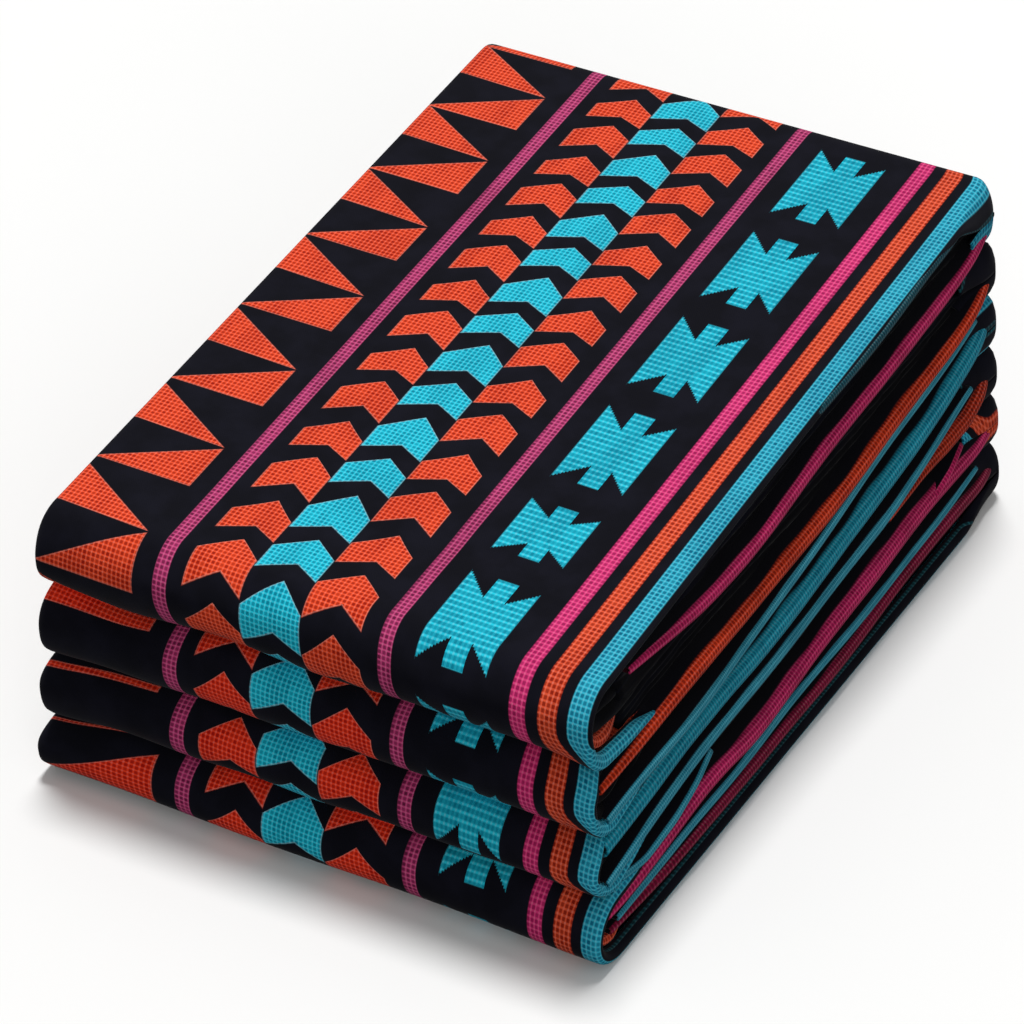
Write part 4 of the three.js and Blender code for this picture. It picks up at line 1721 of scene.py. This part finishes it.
@dataclass
class LeftSide:
    """The lengthwise folds of the left side, three for each node of the frame."""

    folding: Folding
    material: bpy.types.Material
    count: int = 8
    layers: int = 3
    tail: float = 11 * MM
    lip: float = 6 * MM
    step: float = 4.4 * MM
    fill: float = 0.97
    front_overlap: float = 8 * MM
    back_overlap: float = 2 * MM

    def build(self) -> None:
        """Builds and declares every stack of folds."""
        generator = np.random.default_rng(8)
        for index in range(1, self.count + 1):
            node = f"left_fold_{index}"
            sheets = [self._fold(index, layer, generator) for layer in range(self.layers)]
            mesh = joined(f"side_folds_{index}", [(sheet, 0) for sheet, _ in sheets])
            piece = finish_cloth(mesh, 1.1 * MM, [self.material])
            declare(piece, [node])

    def _fold(self, index: int, layer: int, generator: np.random.Generator,
              ) -> tuple[bpy.types.Mesh, tuple[float, float]]:
        """One lengthwise fold.

        Args:
            index: number of its node, from the top.
            layer: its number in the node, from the top.
            generator: the seeded source of its small unevenness.

        Returns:
            The mesh, and the width and length that the cloth is cut to.
        """
        pile = self.folding.pile
        start = pile.front + self.folding.front_legs - self.front_overlap
        end = pile.back - self.folding.back_legs + self.back_overlap
        y = np.linspace(start, end, int((end - start) / self.step) + 1)
        rank = (index - 1) * self.layers + layer
        pitch = (pile.height(y) - 2 * self.lip) / (self.count * self.layers)
        level = pile.height(y) - self.lip - pitch * (rank + 0.5)
        half = pitch / 2 * self.fill
        shy = generator.uniform(0.2, 2.0) * MM
        wave = generator.uniform(0.3, 0.8) * MM
        phase = generator.uniform(0.0, math.tau)
        shift = generator.uniform(0.0, TRIANGLE_PERIOD) * MM
        inset = shy + wave + sway(y, wave, generator.uniform(12, 26), phase)
        inset += 5 * MM * ramp(y, start + 26 * MM, start) + 4 * MM * ramp(y, end - 18 * MM, end)
        across = np.concatenate([[-2.4, -1.7, -1.2], np.linspace(-1, 1, 15), [1.2, 1.7, 2.4]])
        side, run = np.meshgrid(across, y)
        angle = np.clip(side, -1, 1) * math.pi / 2
        tail = np.maximum(np.abs(side) - 1, 0) / (across[-1] - 1) * self.tail
        depth = half[:, None] * 1.25
        x = pile.left + inset[:, None] + depth * (1 - np.cos(angle)) + tail
        z = level[:, None] + half[:, None] * np.sin(angle)
        points = np.stack([x, run, z], axis=-1)
        width, flat = widths(points)
        cloth = np.stack([flat, run + shift], axis=-1)
        mesh = cloth_mesh(f"side_fold_{index}_{layer}", pile.settle(points)[:, ::-1],
                          cloth[:, ::-1])
        return mesh, (float(width[:, -1].mean()), float(end - start))


@dataclass
class HiddenLayers:
    """What lies inside the pile: a rounded core, layered at its edges, and nested folds."""

    folding: Folding
    # The core's finish: near-black painted shade with tinted streaks.
    edges: bpy.types.Material
    materials: dict[str, bpy.types.Material]
    layer_pitch: float = 5.6 * MM
    layer_depth: float = 2.2 * MM
    cloth_depth: float = 0.5 * MM
    wall: float = 0.8 * MM
    roll: Roll = Roll(2.4 * MM, 2.4 * MM, 3 * MM)
    front_legs: float = 62 * MM
    back_legs: float = 30 * MM
    rows: int = 74
    levels: int = 190
    front_gap: float = 40 * MM
    back_gap: float = 12 * MM
    right_gap: float = 8.5 * MM
    left_gap: float = 11 * MM

    def build(self) -> None:
        parts = [(self._core(), 0)]
        for name, skip in zip(FRONT_FOLDS, (1, 0, 0, 1)):
            for level in range(1 + skip, 3 + skip):
                inset = level * self.layer_pitch
                route = self.folding.front_route(name, inset=inset, legs=self.front_legs)
                parts.append((self._nested(f"{name}_{level}", route, 2.0 + 2.4 * level), 0))
        for name in BACK_TURNS:
            route = self.folding.back_route(name, inset=self.layer_pitch, legs=self.back_legs)
            parts.append((self._nested(f"{name}_inner", route, 3.0), 0))
        for number, edge in enumerate(SLIVERS, start=1):
            parts.append((self._thick(edge.mesh(self.folding)[0]), number))
        mesh = joined("layer_core", parts)
        for material in (self.edges, *(self.materials[edge.finish] for edge in SLIVERS)):
            mesh.materials.append(material)
        piece = bpy.data.objects.new(mesh.name, mesh)
        bpy.context.scene.collection.objects.link(piece)
        declare(piece, ["hidden_layers"])

    def _nested(self, name: str, route: Route, inset: float) -> bpy.types.Mesh:
        """Lays a fold that lies inside another one.

        Args:
            name: the mesh's name.
            route: the line that it follows.
            inset: distance of its sides from the pile's own, in mm.

        Returns:
            The fold, with its thickness.
        """
        cut = Cut(0.0, self.roll, self.roll, inset=inset * MM, tuck=(3 * MM, 3 * MM), sparse=True)
        return self._thick(self.folding.sheet(name, route, cut)[0])

    def _thick(self, mesh: bpy.types.Mesh) -> bpy.types.Mesh:
        """Gives a sheet its thickness in the mesh itself.

        Args:
            mesh: the sheet.

        Returns:
            The same mesh, as a closed wall.
        """
        shape = bmesh.new()
        shape.from_mesh(mesh)
        bmesh.ops.solidify(shape, geom=shape.faces[:], thickness=self.wall)
        shape.to_mesh(mesh)
        shape.free()
        return mesh

    def _core(self) -> bpy.types.Mesh:
        """Builds the rounded core: an outline with layered sides, run from front to back.

        Returns:
            Its mesh.
        """
        pile = self.folding.pile
        y = np.linspace(pile.front + self.front_gap, pile.back - self.back_gap, self.rows)
        share = np.linspace(0.012, 0.988, self.levels)
        right = self._layered(share, y, pile.right - self.right_gap, 1)
        left = self._layered(share, y, pile.left + self.left_gap, -1)
        ring = np.concatenate([right, left[:, ::-1], right[:, :1]], axis=1)
        cloth = np.zeros((*ring.shape[:2], 2))
        mesh = cloth_mesh("core", pile.settle(ring), cloth)
        shape = bmesh.new()
        shape.from_mesh(mesh)
        bmesh.ops.remove_doubles(shape, verts=shape.verts[:], dist=SAME_PLACE)
        bmesh.ops.holes_fill(shape, edges=[e for e in shape.edges if e.is_boundary], sides=0)
        bmesh.ops.recalc_face_normals(shape, faces=shape.faces[:])
        shape.to_mesh(mesh)
        shape.free()
        return mesh

    def _layered(self, share: np.ndarray, y: np.ndarray, side: float, sign: int) -> np.ndarray:
        """One side of the core: soft layers of uneven thickness.

        Args:
            share: shares of the height, from the top.
            y: depths.
            side: where the side lies.
            sign: 1 on the right and -1 on the left.

        Returns:
            Rows of points from the top to the ground, one for each depth.
        """
        down, run = np.meshgrid(share, y)
        level = self.folding.pile.level(down, run)
        uneven = 0.35 * np.sin(run * 17 + down * 21) + 0.5 * np.sin(down * 33)
        layer = np.abs(np.sin(math.pi * (level / self.layer_pitch + uneven)))
        fine = np.abs(np.sin(4 * math.pi * (level / self.layer_pitch + uneven)))
        inward = self.layer_depth * (1 - layer ** 0.6) + self.cloth_depth * (1 - fine)
        x = np.full_like(level, side) - sign * inward
        return np.stack([x, run, level], axis=-1)


# ------------------------------------------------------------------ floor, lights and camera

@dataclass(frozen=True)
class Sun:
    """A soft distant light: its name, direction, strength, and its spread in degrees."""

    name: str
    towards: tuple[float, float, float]
    strength: float
    spread: float


SUNS = (
    Sun("key", (0.13, -0.22, -1.0), 2.2, 14.0),
    Sun("fill", (-0.60, 0.80, -0.36), 0.62, 34.0),
)


@dataclass
class Studio:
    """A floor that the camera sees pale but that bounces light as mid grey, as painted shade on the
    pile's lower sides; soft light; and a camera that looks down on the near right corner.
    """

    pile: Pile
    azimuth: float = 29.1
    elevation: float = 35.2
    distance: float = 2.29
    view_angle: float = 12.45
    aside: float = -13.8 * MM
    below: float = -10.8 * MM
    target_height: float = 80 * MM
    surroundings: float = 0.29
    floor_half: float = 12.0
    floor_gap: float = 0.05 * MM

    def build(self) -> None:
        """Builds the floor, the lights and the camera."""
        self._floor()
        self._lights()
        self._camera()
        bpy.context.scene.view_settings.view_transform = "Standard"

    def _floor(self) -> None:
        """A wide floor just under the cloth, pale to the camera but mid grey to bounced light, as
        painted shade on the pile's lower sides.
        """
        shape = bmesh.new()
        bmesh.ops.create_grid(shape, x_segments=1, y_segments=1, size=self.floor_half)
        bmesh.ops.translate(shape, vec=Vector((0, 0, -self.floor_gap)), verts=shape.verts[:])
        mesh = bpy.data.meshes.new("floor")
        shape.to_mesh(mesh)
        shape.free()
        floor = bpy.data.objects.new("floor", mesh)
        bpy.context.scene.collection.objects.link(floor)
        material, tree, shader = new_material("Floor Pale To Camera Grey To Bounces")
        spot = tree.nodes.new("ShaderNodeTexCoord")
        cloud = noise_at(Wire(tree, spot.outputs["Object"]), 3.0, 2.0)
        colour = mix_colour(cloud, linear(252, 252, 251), linear(254, 254, 253))
        # Bounced light meets mid grey here, not the pale floor: painted shade on the pile's lower
        # sides and fronts.
        seen = Wire(tree, tree.nodes.new("ShaderNodeLightPath").outputs["Is Camera Ray"])
        colour = mix_colour(seen, linear(120, 120, 122), colour)
        plug(tree, colour, shader.inputs["Base Color"])
        shader.inputs["Roughness"].default_value = 0.95
        shader.inputs["Sheen Weight"].default_value = 0.0
        mesh.materials.append(material)

    def _lights(self) -> None:
        """Bright surroundings, a soft key light from above and a weak fill from the front."""
        world = bpy.data.worlds.new("Studio")
        world.use_nodes = True
        background = world.node_tree.nodes["Background"]
        background.inputs[0].default_value = (1.0, 1.0, 1.0, 1.0)
        background.inputs[1].default_value = self.surroundings
        bpy.context.scene.world = world
        for sun in SUNS:
            light = bpy.data.lights.new(sun.name, "SUN")
            light.energy = sun.strength
            light.angle = math.radians(sun.spread)
            lamp = bpy.data.objects.new(sun.name, light)
            lamp.rotation_euler = Vector(sun.towards).to_track_quat("-Z", "Y").to_euler()
            bpy.context.scene.collection.objects.link(lamp)

    def _camera(self) -> None:
        """The camera, aimed a little beside and below the middle of the pile."""
        turn, rise = math.radians(self.azimuth), math.radians(self.elevation)
        back = Vector((math.sin(turn) * math.cos(rise), -math.cos(turn) * math.cos(rise),
                       math.sin(rise)))
        right = (-back).cross(Vector((0, 0, 1))).normalized()
        up = right.cross(-back)
        target = Vector((0, 0, self.target_height)) + right * self.aside + up * self.below
        lens = bpy.data.cameras.new("camera")
        lens.sensor_width = 36.0
        lens.lens = lens.sensor_width / 2 / math.tan(math.radians(self.view_angle) / 2)
        lens.clip_start, lens.clip_end = 0.1, 50.0
        camera = bpy.data.objects.new("camera", lens)
        camera.location = target + back * self.distance
        camera.rotation_euler = (-back).to_track_quat("-Z", "Y").to_euler()
        bpy.context.scene.collection.objects.link(camera)
        bpy.context.scene.camera = camera


def main() -> None:
    """Builds the scene, from the camera to the layers inside the pile."""
    logging.basicConfig(level=logging.INFO, format="%(name)s: %(message)s")
    pile = read_pile()
    Studio(pile).build()
    folding = Folding(pile)
    effects = build_effects()
    bands = {name: band.build(effects) for name, band in BANDS.items()}
    Panels(folding, effects).build()
    BackTurns(folding, effects).build()
    InnerFolds(folding, effects).build()
    RightSide(folding, bands).build()
    side_cloth = PatternedCloth("Patterned Cloth Side Folds").build(effects)
    LeftSide(folding, side_cloth).build()
    HiddenLayers(folding, ShadedLayerEdges().build(effects), bands).build()


if __name__ == "__main__":
    main()
